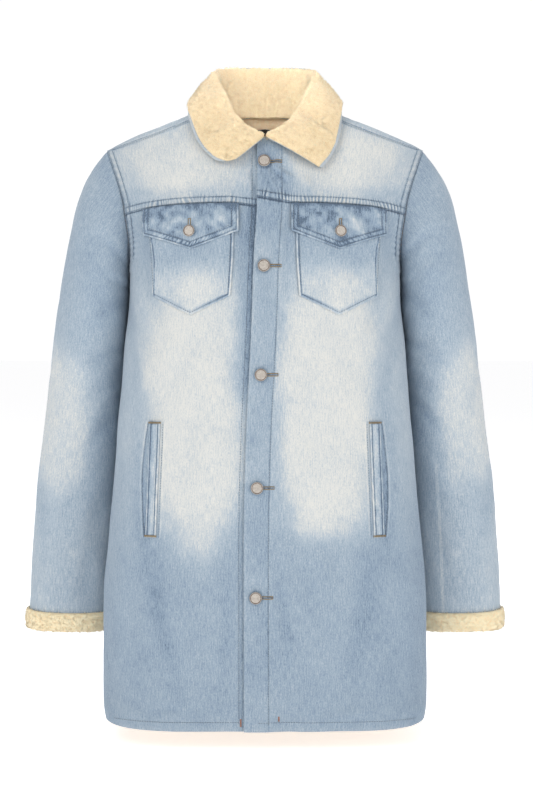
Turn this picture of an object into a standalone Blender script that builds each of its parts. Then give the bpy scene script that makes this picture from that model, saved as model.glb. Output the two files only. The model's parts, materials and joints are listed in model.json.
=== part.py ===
"""Long denim jacket with a sherpa collar and turned-up sherpa cuffs, buttoned and filled out.

Metres, +Z up. The front faces -Y and the wearer's left is at +X. The origin lies between the two
neck points of the shoulders, in the middle of the neck opening, where a wearer carries the jacket.

The torso is one smooth form. Every panel is a patch of it, given a wall of cloth.
"""

import math

import bmesh
import bpy
import numpy as np
from mathutils import Vector

# Overall sizes
HEM_Z = -0.8355
HEM_RISE = 0.0060  # how far the hem climbs from the middle to the side seams
CHEST_Z = -0.250  # from here up the form leans in over the shoulders
UNDERARM_Z = -0.208
SHOULDER_TIP_X = 0.219
SHOULDER_TIP_Z = -0.048
NECK_X = 0.083
NECK_FRONT_Z = -0.050
NECK_BACK_Y = 0.066
NECK_CURVE_RISE = 0.045  # how far the front neckline climbs to the neck point
SHOULDER_SEAM_DROP = 0.0110  # the front shoulder seam lies this far below the shoulder line
TIP_SEAM_DROP = 0.0012  # and this far at the shoulder tip
YOKE_FRONT_Z = -0.1290
YOKE_FRONT_DIP = 0.0215  # lower at the armhole than at the centre
YOKE_BACK_Z = -0.150
YOKE_BACK_RISE = 0.010  # higher at the armhole than at the centre
YOKE_SIDE_Z = -0.1412  # where the front yoke seam meets the armhole
BACK_YOKE_SIDE_Z = -0.142  # where the back yoke seam does

# Cloth
SEAM_GAP = 0.0004
SIDE_SEAM_TURN = 0.00012  # half the side seam's gap, as an angle of the form
ARMHOLE_GAP_TURN = 0.002  # the armhole seam's gap, as an angle of the form
TOP_SPREAD = 1.45  # how much closer the columns of a panel's top edge lie at its side
DENIM = 0.0024
LAYER = 0.0016  # one folded layer of a pocket, flap or welt
SHERPA = 0.0050
TAPE = 0.0008
TAPE_HALF_WIDTH = 0.016
TAPE_SHARES = (0.60, 0.04)  # its lower and upper edge within the lining's last row but one
OVERLAP_RISE = 0.0034  # how far the over front stands off the under front

# Closure
UNDER_LAP = 0.030  # how far the under front runs past the over front's edge
BUTTON_RADIUS = 0.0083
FLAP_BUTTON_RADIUS = 0.0078

# The torso's outline at each height: half width, depth in front and behind the side seam, and how
# square the section is. Above the underarm the width is that of the form inside the sleeve head.
BODY_ROWS = [
    {"z": -0.840, "width": 0.2190, "front": 0.116, "back": 0.111, "square": 4.6},
    {"z": -0.815, "width": 0.2238, "front": 0.117, "back": 0.112, "square": 4.2},
    {"z": -0.800, "width": 0.2247, "front": 0.117, "back": 0.112, "square": 3.8},
    {"z": -0.760, "width": 0.2254, "front": 0.118, "back": 0.112, "square": 3.4},
    {"z": -0.663, "width": 0.2250, "front": 0.120, "back": 0.112, "square": 3.3},
    {"z": -0.588, "width": 0.2190, "front": 0.121, "back": 0.112, "square": 3.2},
    {"z": -0.525, "width": 0.2122, "front": 0.122, "back": 0.112, "square": 3.1},
    {"z": -0.441, "width": 0.2052, "front": 0.123, "back": 0.113, "square": 3.0},
    {"z": -0.349, "width": 0.1968, "front": 0.124, "back": 0.116, "square": 2.9},
    {"z": -0.268, "width": 0.1895, "front": 0.124, "back": 0.118, "square": 2.8},
    {"z": -0.208, "width": 0.1862, "front": 0.122, "back": 0.120, "square": 2.8},
    {"z": -0.180, "width": 0.1905, "front": 0.121, "back": 0.121, "square": 2.8},
    {"z": -0.150, "width": 0.2010, "front": 0.120, "back": 0.121, "square": 2.8},
    {"z": -0.100, "width": 0.2200, "front": 0.119, "back": 0.121, "square": 2.8},
    {"z": -0.048, "width": 0.2350, "front": 0.118, "back": 0.120, "square": 2.8},
    {"z": 0.040, "width": 0.2400, "front": 0.117, "back": 0.118, "square": 2.8},
]
CROWN = 2.3  # roundness of the form over the shoulders

# The shoulder line seen from the front.
CREST_ROWS = [
    {"x": 0.000, "z": 0.0450},
    {"x": 0.020, "z": 0.0420},
    {"x": 0.050, "z": 0.0280},
    {"x": 0.083, "z": 0.0110},
    {"x": 0.105, "z": 0.0010},
    {"x": 0.146, "z": -0.0155},
    {"x": 0.189, "z": -0.0330},
    {"x": 0.219, "z": -0.0480},
    {"x": 0.250, "z": -0.0680},
]

# The armhole seam seen from the front.
ARMHOLE_ROWS = [
    {"z": -0.208, "x": 0.1862},
    {"z": -0.180, "x": 0.1862},
    {"z": -0.146, "x": 0.1895},
    {"z": -0.125, "x": 0.1925},
    {"z": -0.101, "x": 0.1990},
    {"z": -0.073, "x": 0.2090},
    {"z": -0.048, "x": 0.2190},
]

# The over front's edge: it drifts to the wearer's right on its way down.
EDGE_ROWS = [
    {"z": -0.840, "x": -0.0285},
    {"z": -0.585, "x": -0.0285},
    {"z": -0.445, "x": -0.0255},
    {"z": -0.305, "x": -0.0185},
    {"z": -0.195, "x": -0.0145},
    {"z": -0.124, "x": -0.0105},
    {"z": -0.050, "x": -0.0110},
]

# Wide soft folds of the hanging cloth: where, over what height, how wide, how far in or out.
FOLD_ROWS = [
    {"x": -0.052, "top": -0.13, "bottom": -0.45, "wide": 0.020, "deep": 0.0022, "face": -1},
    {"x": 0.060, "top": -0.62, "bottom": -0.90, "wide": 0.026, "deep": -0.0030, "face": -1},
    {"x": 0.020, "top": -0.70, "bottom": -0.90, "wide": 0.022, "deep": 0.0022, "face": -1},
    {"x": -0.120, "top": -0.55, "bottom": -0.95, "wide": 0.032, "deep": -0.0025, "face": -1},
    {"x": -0.080, "top": -0.30, "bottom": -0.90, "wide": 0.038, "deep": 0.0035, "face": 1},
    {"x": 0.055, "top": -0.35, "bottom": -0.90, "wide": 0.040, "deep": 0.0035, "face": 1},
    {"x": 0.140, "top": -0.40, "bottom": -0.90, "wide": 0.034, "deep": 0.0030, "face": 1},
]

# Each sleeve, section by section: its outer and inner points seen from the front, the middle of the
# section front to back, and its half depth.
SLEEVE_ROWS = [
    {"t": 0.00, "ox": 0.2190, "oz": -0.048, "ix": 0.1862, "iz": -0.208, "y": 0.000, "deep": 0.060},
    {"t": 0.07, "ox": 0.2435, "oz": -0.080, "ix": 0.1876, "iz": -0.226, "y": 0.002, "deep": 0.070},
    {"t": 0.14, "ox": 0.2605, "oz": -0.117, "ix": 0.1887, "iz": -0.243, "y": 0.006, "deep": 0.074},
    {"t": 0.21, "ox": 0.2712, "oz": -0.159, "ix": 0.1900, "iz": -0.263, "y": 0.011, "deep": 0.074},
    {"t": 0.30, "ox": 0.2832, "oz": -0.221, "ix": 0.1928, "iz": -0.296, "y": 0.018, "deep": 0.072},
    {"t": 0.39, "ox": 0.2940, "oz": -0.284, "ix": 0.1962, "iz": -0.336, "y": 0.028, "deep": 0.069},
    {"t": 0.48, "ox": 0.3030, "oz": -0.345, "ix": 0.2004, "iz": -0.383, "y": 0.038, "deep": 0.066},
    {"t": 0.59, "ox": 0.3135, "oz": -0.420, "ix": 0.2050, "iz": -0.445, "y": 0.049, "deep": 0.061},
    {"t": 0.70, "ox": 0.3255, "oz": -0.503, "ix": 0.2108, "iz": -0.517, "y": 0.060, "deep": 0.056},
    {"t": 0.82, "ox": 0.3345, "oz": -0.595, "ix": 0.2160, "iz": -0.601, "y": 0.068, "deep": 0.051},
    {"t": 0.95, "ox": 0.3408, "oz": -0.690, "ix": 0.2200, "iz": -0.692, "y": 0.073, "deep": 0.047},
    {"t": 1.00, "ox": 0.3415, "oz": -0.727, "ix": 0.2210, "iz": -0.729, "y": 0.075, "deep": 0.046},
]
SLEEVE_SEAM = 0.0012
SLEEVE_SQUARE = 2.15
SLEEVE_END = 0.989
CUFF_TOP = 0.962  # where the turned-up band begins, along the sleeve
CUFF_LINING = 0.935  # how far it runs up inside
CUFF_PILE = 0.0046

# The collar from the middle of the back to the end of a leaf, for the wearer's left side. Base is
# the neck seam and edge the outer edge, both seen from above and lying on the form; roll is the
# fold line.
COLLAR_ROWS = [
    {"s": 0.00, "bx": 0.000, "by": 0.066, "rx": 0.000, "ry": 0.072, "rz": 0.078, "ex": 0.000, "ey": 0.082},
    {"s": 0.16, "bx": 0.040, "by": 0.058, "rx": 0.041, "ry": 0.064, "rz": 0.077, "ex": 0.054, "ey": 0.076},
    {"s": 0.32, "bx": 0.070, "by": 0.036, "rx": 0.068, "ry": 0.041, "rz": 0.070, "ex": 0.092, "ey": 0.050},
    {"s": 0.42, "bx": 0.080, "by": 0.014, "rx": 0.070, "ry": 0.018, "rz": 0.060, "ex": 0.100, "ey": 0.026},
    {"s": 0.52, "bx": 0.083, "by": -0.010, "rx": 0.066, "ry": -0.006, "rz": 0.045, "ex": 0.101, "ey": 0.000},
    {"s": 0.66, "bx": 0.079, "by": -0.042, "rx": 0.056, "ry": -0.038, "rz": 0.022, "ex": 0.102, "ey": -0.045},
    {"s": 0.78, "bx": 0.063, "by": -0.069, "rx": 0.045, "ry": -0.066, "rz": -0.004, "ex": 0.098, "ey": -0.074},
    {"s": 0.89, "bx": 0.038, "by": -0.088, "rx": 0.028, "ry": -0.090, "rz": -0.026, "ex": 0.088, "ey": -0.089},
    {"s": 1.00, "bx": 0.012, "by": -0.094, "rx": 0.002, "ry": -0.104, "rz": -0.041, "ex": 0.074, "ey": -0.098},
]
# The wearer's right leaf ends nearer the middle: its edge moves by this much.
RIGHT_LEAF_ROWS = [
    {"s": 0.66, "ex": 0.000, "ey": 0.0000},
    {"s": 0.78, "ex": -0.007, "ey": -0.0030},
    {"s": 0.89, "ex": -0.017, "ey": -0.0040},
    {"s": 1.00, "ex": -0.028, "ey": -0.0020},
]
COLLAR_CLEAR = 0.0085  # the under collar's height over the shoulders at its outer edge
COLLAR_SEAM = 0.0035  # the collar's lower edge stands this far over the neckline
COLLAR_FOLD = 0.0032  # inner radius of the fold

# How the fronts' yoke seams move where the fronts lap: from x = start over the reach.
OVER_SEAM = {"start": 0.0345, "reach": 0.045, "rise": 0.0073}
UNDER_SEAM = {"start": -0.045, "reach": 0.034, "rise": -0.0040}
FRONT_COLUMNS = 11

# Pockets, for the wearer's left side, seen from the front.
CHEST_POCKET = {"x_in": 0.041, "x_out": 0.1560, "top": -0.165, "side": -0.2515, "point": -0.2780,
                "taper": 0.0040}
CHEST_FLAP = {"x_in": 0.0345, "x_out": 0.1620, "top": -0.1298, "side": -0.1665, "point": -0.1898}
SIDE_WELT = {"x_top": 0.1465, "x_bottom": 0.1530, "top": -0.419, "bottom": -0.575, "wide": 0.0145}

BUTTON_ROWS = [
    {"x": -0.0008, "z": -0.0740},
    {"x": -0.0013, "z": -0.2125},
    {"x": -0.0053, "z": -0.3564},
    {"x": -0.0105, "z": -0.5067},
    {"x": -0.0123, "z": -0.6537},
]
FLAP_BUTTON = {"x": 0.0990, "z": -0.1665}


def clear_scene():
    for old in list(bpy.data.objects):
        bpy.data.objects.remove(old, do_unlink=True)


def material(name, colour, roughness, metallic=0.0):
    made = bpy.data.materials.new(name)
    made.use_nodes = True
    shader = made.node_tree.nodes["Principled BSDF"]
    shader.inputs["Base Color"].default_value = (*colour, 1.0)
    shader.inputs["Roughness"].default_value = roughness
    shader.inputs["Metallic"].default_value = metallic
    return made


# ---- smooth tables and the torso's form ----


def smooth_table(rows, key, column, at):
    """A column read along a table by a smooth curve through its rows."""
    xs = np.array([row[key] for row in rows])
    ys = np.array([row[column] for row in rows])
    at = np.clip(np.asarray(at, float), xs[0], xs[-1])
    slopes = np.diff(ys) / np.diff(xs)
    ends = np.empty(len(xs))
    ends[0] = slopes[0]
    ends[-1] = slopes[-1]
    ends[1:-1] = np.where(slopes[:-1] * slopes[1:] > 0, (slopes[:-1] + slopes[1:]) / 2, 0)
    limit = 3 * np.minimum(np.abs(np.append(slopes[0], slopes)), np.abs(np.append(slopes, slopes[-1])))
    ends = np.clip(ends, -limit, limit)
    i = np.clip(np.searchsorted(xs, at, side="right") - 1, 0, len(xs) - 2)
    step = xs[i + 1] - xs[i]
    u = (at - xs[i]) / step
    return (
        ys[i] * (1 + 2 * u) * (1 - u) ** 2
        + ends[i] * step * u * (1 - u) ** 2
        + ys[i + 1] * u * u * (3 - 2 * u)
        + ends[i + 1] * step * u * u * (u - 1)
    )


def width_at(z):
    return smooth_table(BODY_ROWS, "z", "width", z)


def crest(x):
    """Height of the shoulder line."""
    return smooth_table(CREST_ROWS, "x", "z", np.abs(x))


def folds(x, z, side):
    """How far the hanging cloth stands in or out of the smooth form."""
    total = np.zeros(np.broadcast(x, z).shape)
    for row in FOLD_ROWS:
        middle = (row["top"] + row["bottom"]) / 2
        half = (row["top"] - row["bottom"]) / 2
        across = np.exp(-(((x - row["x"]) / row["wide"]) ** 2))
        along = np.clip(1 - ((z - middle) / half) ** 2, 0, 1)
        total = total - row["deep"] * across * along * (side == row["face"])
    return total


def body(turn, climb, face):
    """The form's points. Turn is the angle from the centre line, a quarter turn at the side. Climb
    is metres below CHEST_Z, and above it the angle over the shoulder, a quarter turn at the crest."""
    turn, climb = np.broadcast_arrays(np.asarray(turn, float), np.asarray(climb, float))
    x = np.sin(turn) * width_at(CHEST_Z)
    rise = np.clip(climb, 0, None)
    for _ in range(5):
        z = np.where(climb <= 0, CHEST_Z + climb, CHEST_Z + (crest(x) - CHEST_Z) * np.sin(rise))
        x = np.sin(turn) * width_at(z)
    side = face * np.sign(np.cos(turn)) * np.where(rise > math.pi / 2, -1, 1)
    depth = np.where(
        side < 0,
        smooth_table(BODY_ROWS, "z", "front", z),
        smooth_table(BODY_ROWS, "z", "back", z),
    )
    square = smooth_table(BODY_ROWS, "z", "square", z)
    across = np.clip(1 - np.abs(np.sin(turn)) ** square, 0, 1) ** (1 / square)
    over = np.clip(1 - np.sin(rise) ** CROWN, 0, 1) ** (1 / CROWN)
    y = side * (depth + folds(x, z, side)) * across * over
    return np.stack([x, y, z], -1)


def find(x, z):
    """Turn and climb of the point of the form seen at x, z from the front or the back."""
    x = np.asarray(x, float)
    z = np.asarray(z, float)
    turn = np.arcsin(np.clip(x / width_at(z), -1, 1))
    lift = np.clip((z - CHEST_Z) / (crest(x) - CHEST_Z), 0, 1)
    return turn, np.where(z <= CHEST_Z, z - CHEST_Z, np.arcsin(lift))


def find_above(x, y):
    """Turn and climb of the point of the form seen at x, y from above, as on the back: where y is
    negative the climb passes a quarter turn."""
    x = np.asarray(x, float)
    z = np.zeros(x.shape)
    for _ in range(8):
        turn = np.arcsin(np.clip(x / width_at(z), -1, 1))
        square = smooth_table(BODY_ROWS, "z", "square", z)
        front = smooth_table(BODY_ROWS, "z", "front", z)
        depth = np.where(y < 0, front, smooth_table(BODY_ROWS, "z", "back", z))
        across = (1 - np.abs(np.sin(turn)) ** square) ** (1 / square)
        share = np.clip(np.abs(y) / (depth * across), 0, 1)
        rise = np.arcsin((1 - share**CROWN) ** (1 / CROWN))
        z = CHEST_Z + (crest(x) - CHEST_Z) * np.sin(rise)
    return turn, np.where(y < 0, math.pi - rise, rise)


def normals_of(turn, climb, face):
    """Outward normals of the form, from its points a little to each side."""
    step = 0.004
    along = body(turn, climb + step, face) - body(turn, climb - step, face)
    across = body(turn + step, climb, face) - body(turn - step, climb, face)
    out = np.cross(across, along) * -face
    return out / np.maximum(np.linalg.norm(out, axis=-1, keepdims=True), 1e-12)


def on_body(turn, climb, face, out):
    """Points of the form moved out along its normals."""
    out = np.broadcast_to(np.asarray(out, float), np.broadcast(turn, climb).shape)
    return body(turn, climb, face) + normals_of(turn, climb, face) * out[..., None]


# ---- meshes ----


def add_object(name, points, faces, finish, smooth_angle=50):
    mesh = bpy.data.meshes.new(name)
    mesh.from_pydata([tuple(p) for p in np.asarray(points, float)], [], faces)
    shape = bmesh.new()
    shape.from_mesh(mesh)
    bmesh.ops.recalc_face_normals(shape, faces=shape.faces)
    shape.to_mesh(mesh)
    shape.free()
    mesh.materials.append(finish)
    mesh.shade_smooth()
    mesh.set_sharp_from_angle(angle=math.radians(smooth_angle))
    made = bpy.data.objects.new(name, mesh)
    bpy.context.scene.collection.objects.link(made)
    return made


def sheet(name, outer, inner, finish, ring=False):
    """A wall of cloth between two grids of points. With ring, the columns close on themselves."""
    rows, columns = outer.shape[:2]
    points = np.concatenate([outer.reshape(-1, 3), inner.reshape(-1, 3)])
    half = rows * columns
    faces = []
    spans = columns if ring else columns - 1
    for j in range(rows - 1):
        for i in range(spans):
            k = (i + 1) % columns
            a, b = j * columns + i, j * columns + k
            c, d = (j + 1) * columns + k, (j + 1) * columns + i
            faces.append((a, b, c, d))
            faces.append((half + a, half + d, half + c, half + b))
    rim = []
    for i in range(spans):
        k = (i + 1) % columns
        rim.append((i, k))
        rim.append(((rows - 1) * columns + k, (rows - 1) * columns + i))
    if not ring:
        for j in range(rows - 1):
            rim.append(((j + 1) * columns, j * columns))
            rim.append((j * columns + columns - 1, (j + 1) * columns + columns - 1))
    for a, b in rim:
        faces.append((b, a, half + a, half + b))
    return add_object(name, points, faces, finish)


def patch(bottom, top, left, right, rows):
    """Turn and climb inside four edges: bottom and top run left to right, left and right run up.
    Each edge is an array of (turn, climb); left and right have one point for each of the rows."""
    u = np.linspace(0, 1, len(bottom))[None, :, None]
    v = np.linspace(0, 1, rows)[:, None, None]
    corners = (
        (1 - u) * (1 - v) * bottom[0]
        + u * (1 - v) * bottom[-1]
        + (1 - u) * v * top[0]
        + u * v * top[-1]
    )
    flat = (1 - v) * bottom[None] + v * top[None] + (1 - u) * left[:, None] + u * right[:, None]
    return np.moveaxis(flat - corners, -1, 0)


def edge(x, z):
    """An edge given by what is seen from the front or back, as (turn, climb)."""
    return np.stack(find(*np.broadcast_arrays(x, z)), -1)


def panel(name, grid, face, finish, out=0.0, wall=DENIM):
    turn, climb = grid
    outer = on_body(turn, climb, face, out)
    inner = on_body(turn, climb, face, np.asarray(out) - wall)
    return sheet(name, outer, inner, finish)


def armhole_x(z):
    return smooth_table(ARMHOLE_ROWS, "z", "x", z)


def side_x(z):
    """The panel's side edge: the side seam below the underarm, the armhole above it."""
    return np.where(z < UNDERARM_Z, width_at(z) - 1e-6, armhole_x(z))


def yoke_line(x):
    return YOKE_FRONT_Z - YOKE_FRONT_DIP * (np.abs(x) / SHOULDER_TIP_X) ** 4


def over_yoke_line(x):
    """The over front's yoke seam, drawn up towards its buttoned edge."""
    share = np.clip((OVER_SEAM["start"] - x) / OVER_SEAM["reach"], 0, 1)
    return yoke_line(x) + OVER_SEAM["rise"] * share


def under_yoke_line(x):
    """The under front's yoke seam, which sinks where it goes under the other front."""
    share = np.clip((x - UNDER_SEAM["start"]) / UNDER_SEAM["reach"], 0, 1)
    return yoke_line(x) + UNDER_SEAM["rise"] * share


def back_yoke_line(x):
    return YOKE_BACK_Z + YOKE_BACK_RISE * (np.abs(x) / SHOULDER_TIP_X) ** 2


def neck_line(x):
    """The front neckline and the front shoulder seam as one top edge."""
    neck = NECK_FRONT_Z + NECK_CURVE_RISE * (np.abs(x) / NECK_X) ** 3.2
    share = np.clip((np.abs(x) - NECK_X) / (SHOULDER_TIP_X - NECK_X), 0, 1)
    seam = crest(x) - SHOULDER_SEAM_DROP * (1 - share**4) - TIP_SEAM_DROP
    return np.minimum(neck, seam)


def edge_x(z):
    return smooth_table(EDGE_ROWS, "z", "x", z)


def hem_line(turn):
    return HEM_Z + HEM_RISE * np.sin(turn) ** 8


def spread(start, stop, count, power=1.0):
    """Places from start to stop, closer together towards stop when power is under 1."""
    return start + (stop - start) * np.linspace(0, 1, count) ** power


def heights(bottom, top, count):
    return np.linspace(bottom, top, count)


# ---- fronts ----


def lap(turn, climb):
    """Height of the over front: it rests on the under front near its edge, and on the form beyond."""
    points = body(turn, climb, -1)
    past = points[..., 0] - (edge_x(points[..., 2]) + UNDER_LAP + 0.006)
    fall = np.clip(past / 0.030, 0, 1)
    return OVERLAP_RISE * (1 - fall * fall * (3 - 2 * fall))


def seam_columns(sign, inner_edge):
    """Places along a front's yoke seam, closer together towards the armhole."""
    start = inner_edge(YOKE_FRONT_Z)
    stop = sign * armhole_x(yoke_line(armhole_x(YOKE_SIDE_Z)))
    u = np.linspace(0, TOP_SPREAD, FRONT_COLUMNS)
    return start + (stop - start) * np.sin(u) / math.sin(TOP_SPREAD)


def front_panel(name, finish, sign, inner_edge, out, seam_line):
    """A front from hem to yoke seam. inner_edge gives its centre edge at a height."""
    rows = 17
    low = HEM_Z + HEM_RISE
    side = np.concatenate([heights(low, UNDERARM_Z, 12), heights(UNDERARM_Z, YOKE_SIDE_Z, 6)[1:]])
    right = np.stack(find(sign * side_x(side), side), -1)
    seam = sign * (math.pi / 2 - SIDE_SEAM_TURN)
    right[:, 0] = np.where(side <= UNDERARM_Z, seam, right[:, 0] - sign * ARMHOLE_GAP_TURN)
    inner_z = heights(HEM_Z, seam_line(inner_edge(YOKE_FRONT_Z)) - SEAM_GAP / 2, rows)
    left = edge(inner_edge(inner_z), inner_z)
    hem_turn = np.linspace(left[0, 0], right[0, 0], FRONT_COLUMNS)
    bottom = np.stack([hem_turn, hem_line(hem_turn) - CHEST_Z], -1)
    top_x = seam_columns(sign, inner_edge)
    top = edge(top_x, seam_line(top_x) - SEAM_GAP / 2)
    right[0], right[-1] = bottom[-1], top[-1]
    left[0], left[-1] = bottom[0], top[0]
    turn, climb = patch(bottom, top, left, right, rows)
    return panel(name, (turn, climb), -1, finish, out(turn, climb))


def front_yoke(name, finish, sign, inner_edge, out, seam_line):
    rows = 6
    bottom_x = seam_columns(sign, inner_edge)
    neck = sign * NECK_X
    wing = spread(neck, sign * SHOULDER_TIP_X, 6)
    top_x = np.concatenate([spread(bottom_x[0], neck, FRONT_COLUMNS - 5, 0.6), wing[1:]])
    top = edge(top_x, neck_line(top_x))
    bottom = edge(bottom_x, seam_line(bottom_x) + SEAM_GAP / 2)
    inner_z = heights(seam_line(bottom_x[0]) + SEAM_GAP / 2, NECK_FRONT_Z, rows)
    left = edge(inner_edge(inner_z), inner_z)
    outer_z = spread(yoke_line(bottom_x[-1]) + SEAM_GAP / 2, SHOULDER_TIP_Z - TIP_SEAM_DROP, rows)
    right = edge(sign * (armhole_x(outer_z) - SEAM_GAP), outer_z)
    left[0], left[-1] = bottom[0], top[0]
    right[0], right[-1] = bottom[-1], top[-1]
    turn, climb = patch(bottom, top, left, right, rows)
    return panel(name, (turn, climb), -1, finish, out(turn, climb))


def add_fronts(finish):
    def over_edge(z):
        return edge_x(z)

    def under_edge(z):
        return edge_x(z) + UNDER_LAP

    def flat(turn, climb):
        return np.zeros(turn.shape)

    front_panel("front_left", finish, 1, over_edge, lap, over_yoke_line)
    front_yoke("front_yoke_left", finish, 1, over_edge, lap, over_yoke_line)
    front_panel("front_right", finish, -1, under_edge, flat, under_yoke_line)
    front_yoke("front_yoke_right", finish, -1, under_edge, flat, under_yoke_line)


# ---- back ----


def armhole_edge(sign, low, high, rows):
    """The armhole between two climbs, as (turn, climb)."""
    climb = np.linspace(low, high, rows)
    z = np.full(rows, SHOULDER_TIP_Z)
    for _ in range(8):
        z = CHEST_Z + (crest(armhole_x(z)) - CHEST_Z) * np.sin(climb)
    x = armhole_x(z) - SEAM_GAP
    return np.stack([np.arcsin(sign * x / width_at(z)), climb], -1)


def back_panel(finish):
    rows = 15
    columns = 15
    low = HEM_Z + HEM_RISE
    z = np.concatenate([heights(low, UNDERARM_Z, 11), heights(UNDERARM_Z, BACK_YOKE_SIDE_Z, 5)[1:]])
    z[-1] = back_yoke_line(armhole_x(BACK_YOKE_SIDE_Z))
    right = np.stack(find(side_x(z), z), -1)
    seam = math.pi / 2 - SIDE_SEAM_TURN
    right[:, 0] = np.where(z <= UNDERARM_Z, seam, right[:, 0] - ARMHOLE_GAP_TURN)
    left = right * [-1, 1]
    u = np.linspace(-1, 1, columns)
    bottom = np.stack([right[0, 0] * u, hem_line(right[0, 0] * u) - CHEST_Z], -1)
    top_x = armhole_x(BACK_YOKE_SIDE_Z) * np.sin(u * TOP_SPREAD) / math.sin(TOP_SPREAD)
    top = edge(top_x, back_yoke_line(top_x) - SEAM_GAP / 2)
    right[0], right[-1] = bottom[-1], top[-1]
    left[0], left[-1] = bottom[0], top[0]
    turn, climb = patch(bottom, top, left, right, rows)
    return panel("back_panel", (turn, climb), 1, finish)


def back_yoke(finish):
    """From the back yoke seam over both shoulders to the front shoulder seams."""
    rows = 9
    wing = np.linspace(SHOULDER_TIP_X - SEAM_GAP, NECK_X, 6)
    seam = edge(wing, neck_line(wing) + SEAM_GAP)
    seam[:, 1] = math.pi - seam[:, 1]
    start_y = body(*seam[-1], 1)[1]
    start = math.asin(start_y / NECK_BACK_Y)
    around = start + (math.pi / 2 - start) * np.linspace(0, 1, 7)[1:]
    arc_x = NECK_X * np.cos(around) / math.cos(start)
    arc = np.stack(find_above(arc_x, NECK_BACK_Y * np.sin(around)), -1)
    half = np.concatenate([seam, arc])
    top = np.concatenate([half, half[-2::-1] * [-1, 1]])
    out_x = armhole_x(BACK_YOKE_SIDE_Z) - SEAM_GAP
    mid_x = 0.87 * NECK_X
    half_x = np.concatenate([np.linspace(out_x, mid_x, 6), np.linspace(mid_x, 0, 7)[1:]])
    bottom_x = np.concatenate([half_x, -half_x[-2::-1]])
    bottom = edge(bottom_x, back_yoke_line(bottom_x) + SEAM_GAP / 2)
    left = armhole_edge(1, bottom[0, 1], top[0, 1], rows)
    right = armhole_edge(-1, bottom[-1, 1], top[-1, 1], rows)
    bottom[0], top[0] = left[0], left[-1]
    bottom[-1], top[-1] = right[0], right[-1]
    grid = patch(bottom, top, left, right, rows)
    panel("back_yoke", grid, 1, finish)
    return grid


# ---- sleeves and cuffs ----


def armhole_loop(around):
    """The armhole on the form: round from the shoulder tip over the front to the underarm."""
    top, low = SHOULDER_TIP_Z, UNDERARM_Z
    z = (top + low) / 2 + (top - low) / 2 * np.cos(around)
    x = armhole_x(z)
    turn, climb = find(x, z)
    front = body(turn, climb, -1)
    back = body(turn, climb, 1)
    points = np.where((np.sin(around) >= 0)[..., None], front, back)
    points[..., 0] += SLEEVE_SEAM
    return points


def sleeve_section(around, t):
    """A sleeve's points: around from the outer side over the front, t along it."""
    columns = {name: smooth_table(SLEEVE_ROWS, "t", name, t) for name in SLEEVE_ROWS[0] if name != "t"}
    c = np.sign(np.cos(around)) * np.abs(np.cos(around)) ** (2 / SLEEVE_SQUARE)
    s = np.sign(np.sin(around)) * np.abs(np.sin(around)) ** (2 / SLEEVE_SQUARE)
    x = (columns["ox"] + columns["ix"]) / 2 + (columns["ox"] - columns["ix"]) / 2 * c
    z = (columns["oz"] + columns["iz"]) / 2 + (columns["oz"] - columns["iz"]) / 2 * c
    y = columns["y"] - columns["deep"] * s
    return np.stack([x, y, z], -1)


def sleeve(around, t):
    around, t = np.broadcast_arrays(np.asarray(around, float), np.asarray(t, float))
    share = np.clip(1 - t / 0.14, 0, 1)
    blend = (share * share * (3 - 2 * share))[..., None]
    start = armhole_loop(around) - sleeve_section(around, np.zeros(around.shape))
    return sleeve_section(around, t) + start * blend


def on_sleeve(around, t, out):
    """Points of a sleeve moved out along its normals."""
    around, t = np.broadcast_arrays(np.asarray(around, float), np.asarray(t, float))
    low = np.clip(t - 0.01, 0, 0.98)
    along = sleeve(around, low + 0.02) - sleeve(around, low)
    across = sleeve(around + 0.02, t) - sleeve(around - 0.02, t)
    normal = np.cross(along, across)
    normal = normal / np.maximum(np.linalg.norm(normal, axis=-1, keepdims=True), 1e-12)
    middle = sleeve(around + math.pi, t)
    facing = np.sign(np.sum(normal * (sleeve(around, t) - middle), axis=-1, keepdims=True))
    out = np.broadcast_to(np.asarray(out, float), t.shape)
    return sleeve(around, t) + normal * facing * out[..., None]


def mirrored(points, sign):
    return points * np.array([sign, 1, 1])


def ring_solid(name, rings, finish):
    """A solid swept round an opening: its section's corners run down the rows, and both close."""
    rows, columns = rings.shape[:2]
    faces = []
    for j in range(rows):
        for i in range(columns):
            k = (i + 1) % columns
            m = (j + 1) % rows
            faces.append((j * columns + i, j * columns + k, m * columns + k, m * columns + i))
    return add_object(name, rings.reshape(-1, 3), faces, finish)


def add_sleeves(denim, pile):
    around = np.linspace(0, 2 * math.pi, 18, endpoint=False)[None, :]
    t = np.concatenate([[0, 0.03, 0.06], np.linspace(0.11, 0.90, 9), [CUFF_TOP, SLEEVE_END]])[:, None]
    outer = on_sleeve(around, t, 0.0)
    inner = on_sleeve(around, t, -DENIM)
    inner[0, :, 0] = np.maximum(inner[0, :, 0], outer[0, :, 0])
    near = SEAM_GAP
    far = SEAM_GAP + CUFF_PILE
    section = [
        (CUFF_TOP, near),
        (CUFF_TOP, far),
        ((CUFF_TOP + 1) / 2, far + 0.0006),
        (0.997, far),
        (1.0, far - 0.0015),
        (1.0, -DENIM - far + 0.0015),
        (0.997, -DENIM - far),
        (CUFF_LINING, -DENIM - far),
        (CUFF_LINING, -DENIM - near),
        (SLEEVE_END + 0.001, -DENIM - near),
        (SLEEVE_END + 0.001, near),
    ]
    band = np.concatenate([on_sleeve(around, np.array([[t_at]]), out) for t_at, out in section])
    for side, sign in (("left", 1), ("right", -1)):
        sheet("sleeve_" + side, mirrored(outer, sign), mirrored(inner, sign), denim, ring=True)
        ring_solid("cuff_" + side, mirrored(band, sign), pile)


# ---- collar ----


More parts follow.
